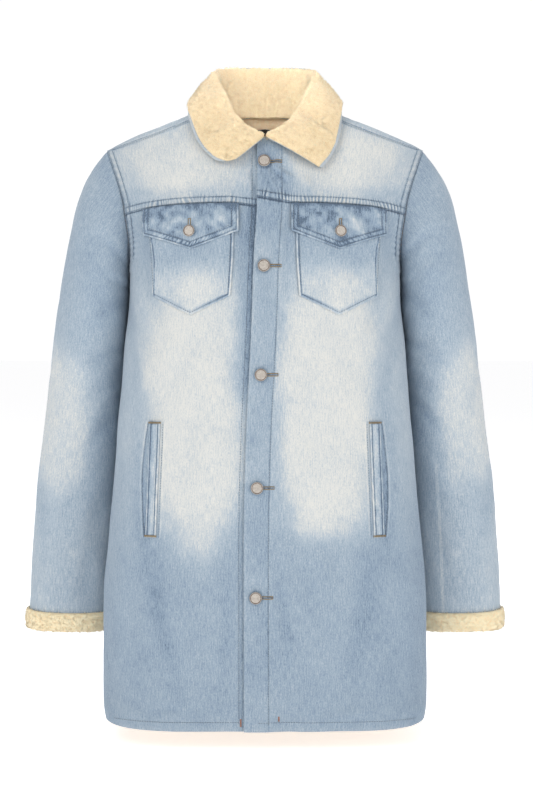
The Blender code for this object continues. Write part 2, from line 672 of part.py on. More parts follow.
def collar_columns(s):
    """The collar's base, roll and edge at places from the right leaf's end (-1) to the left's (1)."""
    s = np.asarray(s, float)
    side = np.where(s < 0, -1.0, 1.0)
    at = np.abs(s)
    values = {name: smooth_table(COLLAR_ROWS, "s", name, at) for name in COLLAR_ROWS[0]}
    edge_out, edge_back = (
        values[name] + np.where(s < 0, smooth_table(RIGHT_LEAF_ROWS, "s", name, at), 0)
        for name in ("ex", "ey")
    )
    base = body(*find_above(values["bx"], values["by"]), 1) + [0, 0, COLLAR_SEAM]
    rim = on_body(*find_above(edge_out, edge_back), 1, COLLAR_CLEAR)
    flip = np.stack([side, side**2, side**2], -1)
    roll = np.stack([values["rx"], values["ry"], values["rz"]], -1)
    return base * flip, roll * flip, rim * flip


def unit(v):
    return v / np.maximum(np.linalg.norm(v, axis=-1, keepdims=True), 1e-12)


def collar_fold(s):
    """Rows of points from the base up the stand, over the fold and down the fall."""
    base, roll, rim = collar_columns(s)
    rise = unit(roll - (base + rim) / 2)
    spread_out = rim - base
    spread_out = unit(spread_out - np.sum(spread_out * rise, -1, keepdims=True) * rise)
    centre = roll - rise * COLLAR_FOLD
    rows = []
    start = centre - spread_out * COLLAR_FOLD
    for u in (0.0, 0.5):
        rows.append(base + (start - base) * u)
    for angle in np.linspace(math.pi, 0, 5):
        rows.append(centre + COLLAR_FOLD * (spread_out * math.cos(angle) + rise * math.sin(angle)))
    end = centre + spread_out * COLLAR_FOLD
    control = end * 0.45 + rim * 0.55 + spread_out * 0.014 + rise * 0.006
    for u in (0.25, 0.5, 0.75, 1.0):
        rows.append((1 - u) ** 2 * end + 2 * u * (1 - u) * control + u * u * rim)
    return np.array(rows)


def grid_normals(grid):
    across = np.gradient(grid, axis=1)
    along = np.gradient(grid, axis=0)
    return unit(np.cross(across, along))


def add_collar(denim, pile):
    grid = collar_fold(np.concatenate([np.linspace(-1, 0, 12), np.linspace(0, 1, 12)[1:]]))
    normal = grid_normals(grid)
    if normal[-1, 11, 1] < 0:
        normal = -normal
    sheet("collar_under", grid, grid - normal * LAYER, denim)
    near = 2.5 * SEAM_GAP
    sheet("collar_top", grid + normal * (near + SHERPA), grid + normal * near, pile)


def add_neck_lining(yoke_grid, pile, tape_cloth):
    """Sherpa inside the back yoke, from the neck seam down, with a plain tape on it."""
    turn, climb = (part[:, 6:-6] for part in yoke_grid)
    inside = -DENIM - SEAM_GAP
    panel("neck_lining", (turn, climb), 1, pile, inside, SHERPA)
    rest = on_body(turn, climb, 1, inside - SHERPA)
    middle = turn.shape[1] // 2
    low, high = rest[-3, middle - 1 : middle + 2], rest[-2, middle - 1 : middle + 2]
    share = abs(TAPE_HALF_WIDTH / (high[2, 0] - high[1, 0]))
    low, high = (row[1] + (row - row[1]) * share for row in (low, high))
    back = np.stack([high + (low - high) * v for v in TAPE_SHARES])
    inward = -normals_of(turn[-2, middle], climb[-2, middle], 1)
    sheet("neck_tape", back + inward * SEAM_GAP, back + inward * (SEAM_GAP + TAPE), tape_cloth)


# ---- pockets ----


def pointed(values, count, drop):
    """The lower edge of a pocket or flap: straight sides running down to a point in the middle."""
    u = np.linspace(0, 1, count)
    x = values["x_in"] + drop + (values["x_out"] - values["x_in"] - 2 * drop) * u
    return x, values["side"] + (values["point"] - values["side"]) * (1 - np.abs(2 * u - 1))


def straight(start, stop, rows):
    v = np.linspace(0, 1, rows)[:, None]
    return start * (1 - v) + stop * v


def patch_piece(name, bottom, top, finish, base_out, rows, lapped):
    left = straight(bottom[0], top[0], rows)
    right = straight(bottom[-1], top[-1], rows)
    turn, climb = patch(bottom, top, left, right, rows)
    rest = lap(turn, climb) if lapped else 0.0
    return panel(name, (turn, climb), -1, finish, rest + base_out, LAYER)


def add_pockets(finish):
    count = 9
    for side, sign in (("left", 1), ("right", -1)):
        lapped = sign > 0
        x, z = pointed(CHEST_POCKET, count, CHEST_POCKET["taper"])
        top_x = np.linspace(CHEST_POCKET["x_in"], CHEST_POCKET["x_out"], count)
        bottom = edge(sign * x, z)
        top = edge(sign * top_x, np.full(count, CHEST_POCKET["top"]))
        patch_piece("chest_pocket_" + side, bottom, top, finish, SEAM_GAP + LAYER, 6, lapped)
        x, z = pointed(CHEST_FLAP, count, 0.0)
        drop = yoke_line(x) - yoke_line(CHEST_FLAP["x_in"])
        bottom = edge(sign * x, z + drop / 2)
        top = edge(sign * x, CHEST_FLAP["top"] + drop)
        over = 2 * (SEAM_GAP + LAYER) + SEAM_GAP
        patch_piece("pocket_flap_" + side, bottom, top, finish, over, 4, lapped)
        z = np.linspace(SIDE_WELT["bottom"], SIDE_WELT["top"], 9)
        middle = np.linspace(SIDE_WELT["x_bottom"], SIDE_WELT["x_top"], 9)
        half = SIDE_WELT["wide"] / 2
        left = edge(sign * (middle - half), z)
        right = edge(sign * (middle + half), z)
        bottom = straight(left[0], right[0], 3)
        top = straight(left[-1], right[-1], 3)
        grid = patch(bottom, top, left, right, 9)
        panel("pocket_welt_" + side, grid, -1, finish, SEAM_GAP + LAYER, LAYER)


# ---- buttons ----


def button_mesh(name, radius, finish):
    """A shank button: a stem, a disc with a rolled rim and a slightly sunk face."""
    profile = [
        (0.0000, 0.0000),
        (0.0028, 0.0000),
        (0.0024, 0.0012),
        (radius - 0.0008, 0.0013),
        (radius, 0.0021),
        (radius - 0.0004, 0.0031),
        (radius - 0.0014, 0.0034),
        (radius - 0.0022, 0.0031),
        (0.0000, 0.0033),
    ]
    segments = 16
    shape = bmesh.new()
    rings = []
    for r, z in profile:
        if r == 0:
            rings.append([shape.verts.new((0, 0, z))])
            continue
        turns = [2 * math.pi * i / segments for i in range(segments)]
        rings.append([shape.verts.new((r * math.cos(a), r * math.sin(a), z)) for a in turns])
    for low, high in zip(rings, rings[1:]):
        for i in range(segments):
            k = (i + 1) % segments
            corners = [low[i % len(low)], low[k % len(low)], high[k % len(high)], high[i % len(high)]]
            shape.faces.new(dict.fromkeys(corners))
    bmesh.ops.recalc_face_normals(shape, faces=shape.faces)
    mesh = bpy.data.meshes.new(name)
    shape.to_mesh(mesh)
    shape.free()
    mesh.materials.append(finish)
    mesh.shade_smooth()
    mesh.set_sharp_from_angle(angle=math.radians(40))
    return mesh


def place_button(name, mesh, x, z, under):
    turn, climb = find(x, z)
    out = Vector(normals_of(turn, climb, -1))
    made = bpy.data.objects.new(name, mesh)
    made.location = on_body(turn, climb, -1, under + SEAM_GAP)
    made.rotation_euler = out.to_track_quat("Z", "Y").to_euler()
    bpy.context.scene.collection.objects.link(made)


def add_buttons(finish):
    front = button_mesh("front_button", BUTTON_RADIUS, finish)
    small = button_mesh("flap_button", FLAP_BUTTON_RADIUS, finish)
    for i, row in enumerate(BUTTON_ROWS, 1):
        rest = float(lap(*find(row["x"], row["z"])))
        place_button(f"button_front_{i}", front, row["x"], row["z"], rest)
    flap = 2 * (SEAM_GAP + LAYER) + SEAM_GAP
    for side, sign in (("left", 1), ("right", -1)):
        rest = flap
        if sign > 0:
            rest += float(lap(*find(FLAP_BUTTON["x"], FLAP_BUTTON["z"])))
        place_button("button_flap_" + side, small, sign * FLAP_BUTTON["x"], FLAP_BUTTON["z"], rest)


def main():
    clear_scene()
    denim = material("denim", (0.36, 0.47, 0.60), 0.85)
    pile = material("sherpa", (0.88, 0.74, 0.49), 0.95)
    metal = material("brushed_metal", (0.62, 0.60, 0.57), 0.35, 1.0)
    tape_cloth = material("dark_tape", (0.02, 0.02, 0.02), 0.8)
    add_fronts(denim)
    back_panel(denim)
    yoke_grid = back_yoke(denim)
    add_sleeves(denim, pile)
    add_collar(denim, pile)
    add_neck_lining(yoke_grid, pile, tape_cloth)
    add_pockets(denim)
    add_buttons(metal)


main()
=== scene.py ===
import json
import math

import bpy
import numpy as np
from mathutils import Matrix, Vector

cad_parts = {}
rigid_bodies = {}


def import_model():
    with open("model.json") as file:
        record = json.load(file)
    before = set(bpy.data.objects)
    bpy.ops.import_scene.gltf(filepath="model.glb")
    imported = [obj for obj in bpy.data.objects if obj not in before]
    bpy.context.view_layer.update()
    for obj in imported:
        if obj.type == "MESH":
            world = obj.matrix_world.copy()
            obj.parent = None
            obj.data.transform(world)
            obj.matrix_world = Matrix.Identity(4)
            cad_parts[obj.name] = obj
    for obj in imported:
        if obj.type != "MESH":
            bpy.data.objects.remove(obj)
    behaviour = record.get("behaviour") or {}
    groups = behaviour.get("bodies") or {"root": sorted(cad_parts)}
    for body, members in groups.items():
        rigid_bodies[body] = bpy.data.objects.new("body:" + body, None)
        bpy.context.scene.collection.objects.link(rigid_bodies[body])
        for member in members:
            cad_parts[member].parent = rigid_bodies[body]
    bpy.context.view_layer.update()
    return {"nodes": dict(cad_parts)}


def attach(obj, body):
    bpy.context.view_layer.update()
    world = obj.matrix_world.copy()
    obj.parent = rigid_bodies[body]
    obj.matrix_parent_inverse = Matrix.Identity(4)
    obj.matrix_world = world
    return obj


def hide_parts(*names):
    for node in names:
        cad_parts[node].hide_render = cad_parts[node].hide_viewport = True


for old in list(bpy.data.objects):
    bpy.data.objects.remove(old, do_unlink=True)

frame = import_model()
dense = 1.0  # share of the full number of rows and columns
print("frame loaded")

# main sizes of the cut, in metres; the wearer's left is at +x and the front faces -y
jacket = {
    "hemZ": -0.8355, "hemRise": 0.0060, "chestZ": -0.250, "underarmZ": -0.208,
    "tipX": 0.219, "tipZ": -0.048, "neckX": 0.083, "neckFrontZ": -0.050, "neckBackY": 0.066,
    "neckCurve": 0.045, "shoulderDrop": 0.0110, "tipDrop": 0.0012,
    "yokeZ": -0.1290, "yokeDip": 0.0215, "yokeSideZ": -0.1412,
    "overStart": 0.0345, "overReach": 0.045, "overRise": 0.0073,
    "underStart": -0.045, "underReach": 0.034, "underRise": -0.0040,
    "backYokeZ": -0.150, "backYokeRise": 0.010, "backYokeSideZ": -0.142,
    "gap": 0.0004, "denim": 0.0024, "layer": 0.0016, "sideGap": 0.0013,
    "overlap": 0.0034, "underLap": 0.030, "crown": 2.3, "topSpread": 1.45, "armholeTurn": 0.002,
}

# how far each row of stitches lies from its seam or edge
rowsAt = {"yoke": (0.0016, 0.0088), "armhole": (0.0022, 0.0086), "placket": 0.0330, "underEdge": 0.0065,
          "neck": 0.0026, "hem": 0.0125}

# half width, depth in front and behind, and squareness of the body at each height
bodyTable = {
    "z": [-0.840, -0.815, -0.800, -0.760, -0.663, -0.588, -0.525, -0.441,
          -0.349, -0.268, -0.208, -0.180, -0.150, -0.100, -0.048, 0.040],
    "width": [0.2190, 0.2238, 0.2247, 0.2254, 0.2250, 0.2190, 0.2122, 0.2052,
              0.1968, 0.1895, 0.1862, 0.1905, 0.2010, 0.2200, 0.2350, 0.2400],
    "front": [0.116, 0.117, 0.117, 0.118, 0.120, 0.121, 0.122, 0.123,
              0.124, 0.124, 0.122, 0.121, 0.120, 0.119, 0.118, 0.117],
    "back": [0.111, 0.112, 0.112, 0.112, 0.112, 0.112, 0.112, 0.113,
             0.116, 0.118, 0.120, 0.121, 0.121, 0.121, 0.120, 0.118],
    "square": [4.6, 4.2, 3.8, 3.4, 3.3, 3.2, 3.1, 3.0, 2.9, 2.8, 2.8, 2.8, 2.8, 2.8, 2.8, 2.8],
}
crestTable = {
    "x": [0.000, 0.020, 0.050, 0.083, 0.105, 0.146, 0.189, 0.219, 0.250],
    "z": [0.0450, 0.0420, 0.0280, 0.0110, 0.0010, -0.0155, -0.0330, -0.0480, -0.0680],
}
armholeTable = {
    "z": [-0.208, -0.180, -0.146, -0.125, -0.101, -0.073, -0.048],
    "x": [0.1862, 0.1862, 0.1895, 0.1925, 0.1990, 0.2090, 0.2190],
}
edgeTable = {
    "z": [-0.840, -0.585, -0.445, -0.305, -0.195, -0.124, -0.050],
    "x": [-0.0285, -0.0285, -0.0255, -0.0185, -0.0145, -0.0105, -0.0110],
}
# wide soft folds of the hanging body: middle, top, bottom, width and depth
hangFolds = {
    -1: [(-0.052, -0.13, -0.45, 0.020, 0.0022), (0.060, -0.62, -0.90, 0.026, -0.0030),
         (0.020, -0.70, -0.90, 0.022, 0.0022), (-0.120, -0.55, -0.95, 0.032, -0.0025)],
    1: [(-0.080, -0.30, -0.90, 0.038, 0.0035), (0.055, -0.35, -0.90, 0.040, 0.0035),
        (0.140, -0.40, -0.90, 0.034, 0.0030)],
}


def bell(value):
    return np.exp(-np.square(value))


def unit(v):
    return v / np.maximum(np.linalg.norm(v, axis=-1, keepdims=True), 1e-12)


def smoothTable(table, key, column, at):
    xs, ys = np.array(table[key]), np.array(table[column])
    at = np.clip(np.asarray(at, float), xs[0], xs[-1])
    slopes = np.diff(ys) / np.diff(xs)
    ends = np.empty(len(xs))
    ends[0], ends[-1] = slopes[0], slopes[-1]
    ends[1:-1] = np.where(slopes[:-1] * slopes[1:] > 0, (slopes[:-1] + slopes[1:]) / 2, 0)
    before, after = np.append(slopes[0], slopes), np.append(slopes, slopes[-1])
    limit = 3 * np.minimum(np.abs(before), np.abs(after))
    ends = np.clip(ends, -limit, limit)
    i = np.clip(np.searchsorted(xs, at, side="right") - 1, 0, len(xs) - 2)
    step = xs[i + 1] - xs[i]
    u = (at - xs[i]) / step
    return (ys[i] * (1 + 2 * u) * (1 - u) ** 2 + ends[i] * step * u * (1 - u) ** 2
            + ys[i + 1] * u * u * (3 - 2 * u) + ends[i + 1] * step * u * u * (u - 1))


def widthAt(z):
    return smoothTable(bodyTable, "z", "width", z)


def crest(x):
    return smoothTable(crestTable, "x", "z", np.abs(x))


def edgeX(z):
    return smoothTable(edgeTable, "z", "x", z)


def armholeX(z):
    return smoothTable(armholeTable, "z", "x", z)


def hangLift(x, z, side):
    total = np.zeros(np.broadcast(x, z).shape)
    for face, rows in hangFolds.items():
        for middle, top, bottom, wide, deep in rows:
            along = np.clip(1 - ((z - (top + bottom) / 2) / ((top - bottom) / 2)) ** 2, 0, 1)
            total = total - deep * np.exp(-(((x - middle) / wide) ** 2)) * along * (side == face)
    return total


# the torso's form: turn is the angle from the centre line, climb the metres below the chest
# and above it the angle over the shoulder
def bodyForm(turn, climb, face):
    turn, climb = np.broadcast_arrays(np.asarray(turn, float), np.asarray(climb, float))
    x = np.sin(turn) * widthAt(jacket["chestZ"])
    rise = np.clip(climb, 0, None)
    for _ in range(5):
        over = jacket["chestZ"] + (crest(x) - jacket["chestZ"]) * np.sin(rise)
        z = np.where(climb <= 0, jacket["chestZ"] + climb, over)
        x = np.sin(turn) * widthAt(z)
    side = face * np.sign(np.cos(turn)) * np.where(rise > math.pi / 2, -1, 1)
    front, back = smoothTable(bodyTable, "z", "front", z), smoothTable(bodyTable, "z", "back", z)
    square = smoothTable(bodyTable, "z", "square", z)
    across = np.clip(1 - np.abs(np.sin(turn)) ** square, 0, 1) ** (1 / square)
    lean = np.clip(1 - np.sin(rise) ** jacket["crown"], 0, 1) ** (1 / jacket["crown"])
    y = side * (np.where(side < 0, front, back) + hangLift(x, z, side)) * across * lean
    return np.stack([x, y, z], -1)


def findSeen(x, z):
    x, z = np.broadcast_arrays(np.asarray(x, float), np.asarray(z, float))
    turn = np.arcsin(np.clip(x / widthAt(z), -1, 1))
    lift = np.clip((z - jacket["chestZ"]) / (crest(x) - jacket["chestZ"]), 0, 1)
    return turn, np.where(z <= jacket["chestZ"], z - jacket["chestZ"], np.arcsin(lift))


def findAbove(x, y):
    x, y = np.broadcast_arrays(np.asarray(x, float), np.asarray(y, float))
    z = np.zeros(x.shape)
    for _ in range(8):
        turn = np.arcsin(np.clip(x / widthAt(z), -1, 1))
        square = smoothTable(bodyTable, "z", "square", z)
        front, back = smoothTable(bodyTable, "z", "front", z), smoothTable(bodyTable, "z", "back", z)
        across = (1 - np.abs(np.sin(turn)) ** square) ** (1 / square)
        share = np.clip(np.abs(y) / (np.where(y < 0, front, back) * across), 0, 1)
        rise = np.arcsin((1 - share ** jacket["crown"]) ** (1 / jacket["crown"]))
        z = jacket["chestZ"] + (crest(x) - jacket["chestZ"]) * np.sin(rise)
    return turn, np.where(y < 0, math.pi - rise, rise)


def formNormals(turn, climb, face):
    step = 0.004
    along = bodyForm(turn, climb + step, face) - bodyForm(turn, climb - step, face)
    across = bodyForm(turn + step, climb, face) - bodyForm(turn - step, climb, face)
    return unit(np.cross(across, along) * -face)


def onBody(turn, climb, face, out):
    out = np.broadcast_to(np.asarray(out, float), np.broadcast(turn, climb).shape)
    return bodyForm(turn, climb, face) + formNormals(turn, climb, face) * out[..., None]


# seam lines seen from the front or the back
def yokeLine(x, over=None):
    line = jacket["yokeZ"] - jacket["yokeDip"] * (np.abs(x) / jacket["tipX"]) ** 4
    if over is None:
        return line
    if over:
        return line + jacket["overRise"] * np.clip((jacket["overStart"] - x) / jacket["overReach"], 0, 1)
    return line + jacket["underRise"] * np.clip((x - jacket["underStart"]) / jacket["underReach"], 0, 1)


def backYokeLine(x):
    return jacket["backYokeZ"] + jacket["backYokeRise"] * (np.abs(x) / jacket["tipX"]) ** 2


def neckLine(x):
    neck = jacket["neckFrontZ"] + jacket["neckCurve"] * (np.abs(x) / jacket["neckX"]) ** 3.2
    share = np.clip((np.abs(x) - jacket["neckX"]) / (jacket["tipX"] - jacket["neckX"]), 0, 1)
    return np.minimum(neck, crest(x) - jacket["shoulderDrop"] * (1 - share ** 4) - jacket["tipDrop"])


def hemLine(turn):
    return jacket["hemZ"] + jacket["hemRise"] * np.sin(turn) ** 8


def smoothStep(value):
    value = np.clip(value, 0, 1)
    return value * value * (3 - 2 * value)


def frontLap(x, z):
    return jacket["overlap"] * (1 - smoothStep((x - edgeX(z) - jacket["underLap"] - 0.006) / 0.030))


grains = np.random.default_rng(7).uniform(-1, 1, (64, 61, 67))


def softNoise(u, v, seed=0):
    u, v = np.broadcast_arrays(np.asarray(u, float), np.asarray(v, float))
    iu, iv = np.floor(u).astype(int), np.floor(v).astype(int)
    fu, fv = smoothStep(u - iu), smoothStep(v - iv)
    table = grains[seed % 64]
    low = table[iu % 61, iv % 67] * (1 - fu) + table[(iu + 1) % 61, iv % 67] * fu
    high = table[iu % 61, (iv + 1) % 67] * (1 - fu) + table[(iu + 1) % 61, (iv + 1) % 67] * fu
    return low * (1 - fv) + high * fv


# uneven gathers across a stitched seam, dying out on both sides of it
def gathers(along, away, period, reach, seed):
    drift = 0.9 * softNoise(along / (period * 3.1), away / 0.03, seed)
    lean = 0.4 * away / period * softNoise(along / 0.03, 0.5, seed + 1)
    strength = 0.55 + 0.45 * softNoise(along / (period * 2.3), 3.1, seed + 2)
    return np.sin(2 * math.pi * (along / period + drift + lean)) * strength * bell(away / reach)


# soft troughs and ridges from one place to another: lift below zero is a trough
def creaseLift(x, z, creases):
    total = np.zeros(np.broadcast(x, z).shape)
    for number, (x0, z0, x1, z1, wide, lift, bow) in enumerate(creases):
        length = math.hypot(x1 - x0, z1 - z0)
        ux, uz = (x1 - x0) / length, (z1 - z0) / length
        along = ((x - x0) * ux + (z - z0) * uz) / length
        across = (x - x0) * uz - (z - z0) * ux + bow * 4 * along * (1 - along)
        broad = wide * (1 + 0.3 * softNoise(along * 3, number + 0.5, 40))
        taper = np.sin(math.pi * np.clip(along, 0, 1)) ** 0.8
        swell = bell((np.abs(across) - 2 * broad) / broad)
        total = total + lift * (bell(across / broad) - 0.35 * swell) * taper
    return total


# x and z of both ends, half width, lift, bow
frontCreases = [
    (0.165, -0.150, 0.135, -0.300, 0.010, -0.0016, 0.012),
    (0.178, -0.200, 0.120, -0.330, 0.012, 0.0016, 0.010),
    (0.182, -0.235, 0.150, -0.400, 0.009, -0.0012, 0.008),
    (0.030, -0.135, 0.022, -0.330, 0.006, -0.0011, 0.003),
    (0.010, -0.140, 0.026, -0.200, 0.005, 0.0011, 0.002),
    (0.004, -0.225, 0.024, -0.300, 0.005, -0.0011, 0.003),
    (0.006, -0.400, 0.024, -0.470, 0.006, 0.0009, 0.003),
    (0.000, -0.640, 0.026, -0.760, 0.007, 0.0011, 0.004),
    (0.036, -0.300, 0.060, -0.520, 0.012, 0.0012, -0.008),
    (0.140, -0.560, 0.100, -0.800, 0.016, -0.0018, 0.010),
    (0.180, -0.480, 0.190, -0.780, 0.014, 0.0018, 0.006),
    (0.010, -0.560, 0.030, -0.800, 0.010, -0.0010, 0.004),
    (0.060, -0.580, 0.090, -0.700, 0.013, 0.0012, 0.010),
    (0.150, -0.800, 0.070, -0.822, 0.007, 0.0010, 0.004),
    (0.100, -0.250, 0.150, -0.360, 0.014, 0.0010, 0.006),
    (-0.160, -0.150, -0.140, -0.290, 0.010, -0.0016, -0.010),
    (-0.180, -0.205, -0.110, -0.340, 0.012, 0.0016, -0.012),
    (-0.184, -0.240, -0.155, -0.420, 0.009, -0.0013, -0.008),
    (-0.030, -0.140, -0.034, -0.310, 0.006, -0.0017, -0.002),
    (-0.044, -0.160, -0.046, -0.330, 0.007, 0.0010, 0.002),
    (-0.060, -0.300, -0.090, -0.540, 0.013, 0.0011, 0.008),
    (-0.150, -0.580, -0.110, -0.790, 0.016, -0.0018, -0.010),
    (-0.185, -0.500, -0.195, -0.780, 0.014, 0.0018, -0.006),
    (-0.050, -0.600, -0.060, -0.820, 0.012, -0.0012, 0.004),
    (-0.170, -0.815, -0.110, -0.806, 0.006, -0.0010, 0.002),
    (-0.100, -0.260, -0.150, -0.380, 0.014, 0.0010, -0.006),
]
yokeCreases = [
    (0.095, -0.020, 0.130, -0.110, 0.012, 0.0010, 0.006),
    (0.185, -0.060, 0.150, -0.118, 0.008, -0.0010, 0.004),
    (0.060, -0.070, 0.075, -0.118, 0.008, -0.0008, 0.002),
    (0.008, -0.066, 0.012, -0.118, 0.005, -0.0012, 0.002),
    (0.020, -0.060, 0.004, -0.100, 0.004, 0.0012, 0.001),
    (-0.004, -0.085, 0.010, -0.118, 0.003, -0.0012, 0.001),
    (0.004, -0.080, 0.034, -0.112, 0.0035, -0.0014, 0.002),
    (0.012, -0.080, 0.040, -0.098, 0.003, 0.0011, -0.001),
    (0.000, -0.092, 0.020, -0.120, 0.003, 0.0011, 0.002),
    (0.052, -0.092, 0.064, -0.118, 0.004, 0.0009, 0.001),
    (-0.090, -0.020, -0.125, -0.110, 0.012, 0.0010, -0.006),
    (-0.185, -0.060, -0.155, -0.118, 0.008, -0.0010, -0.004),
    (-0.060, -0.065, -0.050, -0.115, 0.008, -0.0009, 0.002),
    (-0.026, -0.075, -0.022, -0.122, 0.004, 0.0013, 0.001),
    (-0.018, -0.080, -0.014, -0.124, 0.003, -0.0013, 0.001),
]
backCreases = [
    (0.170, -0.160, 0.120, -0.330, 0.012, -0.0018, 0.012),
    (0.182, -0.215, 0.110, -0.400, 0.013, 0.0018, 0.014),
    (0.020, -0.170, 0.045, -0.520, 0.015, -0.0015, 0.010),
    (0.090, -0.400, 0.120, -0.780, 0.017, 0.0020, 0.012),
    (0.160, -0.500, 0.175, -0.800, 0.014, -0.0020, 0.006),
    (0.040, -0.600, 0.030, -0.820, 0.013, -0.0016, 0.006),
    (-0.165, -0.160, -0.125, -0.320, 0.012, -0.0018, -0.012),
    (-0.182, -0.220, -0.100, -0.420, 0.013, 0.0018, -0.012),
    (-0.040, -0.165, -0.030, -0.480, 0.014, 0.0014, -0.008),
    (-0.080, -0.420, -0.105, -0.790, 0.017, -0.0020, -0.012),
    (-0.150, -0.520, -0.180, -0.800, 0.014, 0.0019, -0.006),
    (-0.010, -0.560, -0.020, -0.815, 0.012, 0.0015, -0.004),
]


# puckers drawn up between the two rows of stitches along a seam, and short pleats past them
def seamBand(along, away, period, seed):
    ribs = gathers(along, away, period, 1e3, seed)
    ribs = np.sign(ribs) * np.abs(ribs) ** 0.8
    inside = smoothStep((away + 0.0005) / 0.002) * (1 - smoothStep((away - 0.0085) / 0.002))
    pleats = 0.5 + 0.5 * softNoise(along / 0.009, 0.2, seed + 3)
    past = bell((away - 0.009) / 0.0055) * (away > 0.0085) * pleats
    under = bell(away / 0.005) * (away < 0)
    return ribs * (inside + 0.9 * past + 0.55 * under)


# how far the outer face stands in or out of the plain form
def frontRelief(x, z, over):
    away = z - yokeLine(x, over)
    lift = 1.35 * creaseLift(x, z, frontCreases) * smoothStep(-away / 0.02 + 0.4)
    lift = lift + 1.35 * creaseLift(x, z, yokeCreases) * smoothStep(away / 0.01)
    lift = lift + 0.00075 * seamBand(x, away, 0.0045, 3)
    lift = lift + 0.0007 * softNoise(x / 0.034, z / 0.060, 11) + 0.00035 * softNoise(x / 0.013, z / 0.022, 12)
    lift = lift + 0.0011 * smoothStep(away / 0.0012) * (1 - smoothStep((away - 0.009) / 0.0025))
    inside = armholeX(z) - np.abs(x)
    onArm = z > jacket["underarmZ"] - 0.01
    lift = lift + 0.00045 * seamBand(z, inside, 0.0085, 6) * onArm
    lift = lift + 0.0010 * (1 - smoothStep((inside - 0.0090) / 0.002)) * onArm
    if over:
        band = x - edgeX(z)
        lift = lift + 0.0007 * (1 - smoothStep((band - 0.0335) / 0.0016))
        lift = lift + 0.00035 * gathers(z, band - rowsAt["placket"], 0.0070, 0.006, 9)
        lift = lift + 0.00070 * gathers(z, band, 0.024, 0.012, 14) * smoothStep((z + 0.60) / 0.2)
    else:
        lift = lift + 0.00040 * gathers(z, x - edgeX(z) + rowsAt["underEdge"], 0.0075, 0.006, 17)
    return lift


def backRelief(x, z):
    away = z - backYokeLine(x)
    lift = creaseLift(x, z, backCreases) * smoothStep(-away / 0.02 + 0.4)
    lift = lift + 0.00055 * gathers(x, away - 0.003, 0.0048, 0.0095, 21)
    lift = lift + 0.0007 * softNoise(x / 0.036, z / 0.062, 23) + 0.00035 * softNoise(x / 0.013, z / 0.024, 24)
    return lift + 0.0008 * smoothStep(away / 0.0012) * (1 - smoothStep((away - 0.009) / 0.0025))


def spot(x, z, middleX, middleZ, acrossR, alongR, soft=0.22):
    away = np.sqrt(np.square((x - middleX) / acrossR) + np.square((z - middleZ) / alongR))
    return 1 / (1 + np.exp((away - 1) / soft))


# how far the wash has taken the blue out: 0 is the deepest, 1 nearly white; round the welt pocket's opening
# it also holds painted shade
def frontFade(x, z, over):
    ax = np.abs(x)
    wander = 0.010 * softNoise(x / 0.04, z / 0.06, 31) + 0.004 * softNoise(x / 0.012, z / 0.020, 37)
    fadeAndShade = 0.36 + 0.17 * smoothStep((z + 0.64) / 0.22) + 0.04 * softNoise(x / 0.05, z / 0.12, 32)
    fadeAndShade = fadeAndShade - 0.06 * smoothStep((ax - 0.185) / 0.025) + 0.05 * spot(ax, z, 0.155, -0.31, 0.03, 0.09, 0.4)
    middle = np.where(x > 0, 0.084, -0.094)
    along = np.abs(z + wander * 2 + 0.400) / np.where(z < -0.40, np.where(x > 0, 0.180, 0.187), 0.182)
    pale = spot((x + wander - middle) / np.where(x < -0.1, 0.064, 0.058), along ** 2, 0, 0, 1, 1, 0.13)
    fadeAndShade = fadeAndShade + (0.91 - fadeAndShade) * pale
    deep = spot(ax, z, 0.098, -0.160, 0.078, 0.050, 0.20)
    fadeAndShade = fadeAndShade - 0.24 * deep * (1 - pale)
    # painted shade round the welt pocket's opening, taken off the wash value
    openingShade = spot(ax, z, 0.165, -0.497, 0.012, 0.088, 0.25)
    fadeAndShade = fadeAndShade - (0.15 + 0.06 * softNoise(x / 0.004, z / 0.009, 39)) * openingShade
    yoke = smoothStep((z - yokeLine(x) + 0.001) / 0.002)
    bleach = 0.56 + 0.34 * spot(ax + wander, z + wander, 0.105, -0.070, 0.078, 0.050, 0.22)
    tail = 0.6 + 0.4 * softNoise(x / 0.014, z / 0.01, 38)
    bleach = bleach - 0.16 * smoothStep((-0.100 - z) / 0.015) * tail
    fadeAndShade = fadeAndShade * (1 - yoke) + (bleach + 0.05 * softNoise(x / 0.03, z / 0.02, 33)) * yoke
    if over:
        high = smoothStep((z + 0.125) / 0.008)
        low = 0.018 * smoothStep((-0.060 - z) / 0.05) + 0.4 * wander
        band = 1 - smoothStep((x - edgeX(z) - 0.032 + high * (0.014 - low)) / (0.003 + 0.026 * high))
        plain = 0.35 + 0.09 * smoothStep((z + 0.60) / 0.20) - 0.11 * smoothStep((z + 0.19) / 0.04)
        plain = plain + 0.06 * softNoise(x / 0.02, z / 0.04, 34)
        fadeAndShade = fadeAndShade * (1 - band) + plain * band
    return fadeAndShade


def backFade(x, z):
    ax = np.abs(x)
    fadeAndShade = 0.42 + 0.14 * smoothStep((z + 0.64) / 0.22) + 0.06 * softNoise(x / 0.06, z / 0.12, 35)
    fadeAndShade = fadeAndShade + (0.90 - fadeAndShade) * spot(ax, z, 0.080, -0.420, 0.055, 0.180, 0.25)
    yoke = smoothStep((z - backYokeLine(x) + 0.001) / 0.002)
    bleach = 0.46 + 0.40 * spot(ax, z, 0.11, -0.070, 0.075, 0.060, 0.30)
    bleach = bleach - 0.10 * smoothStep((z - neckLine(x) + 0.010) / 0.01)
    return fadeAndShade * (1 - yoke) + bleach * yoke


# arc lengths along the rows (axis 1) or up the columns (axis 0) of a grid
def arcs(grid, axis):
    steps = np.linalg.norm(np.diff(grid, axis=axis), axis=-1)
    return np.concatenate([np.zeros_like(np.take(steps, [0], axis)), np.cumsum(steps, axis=axis)], axis)


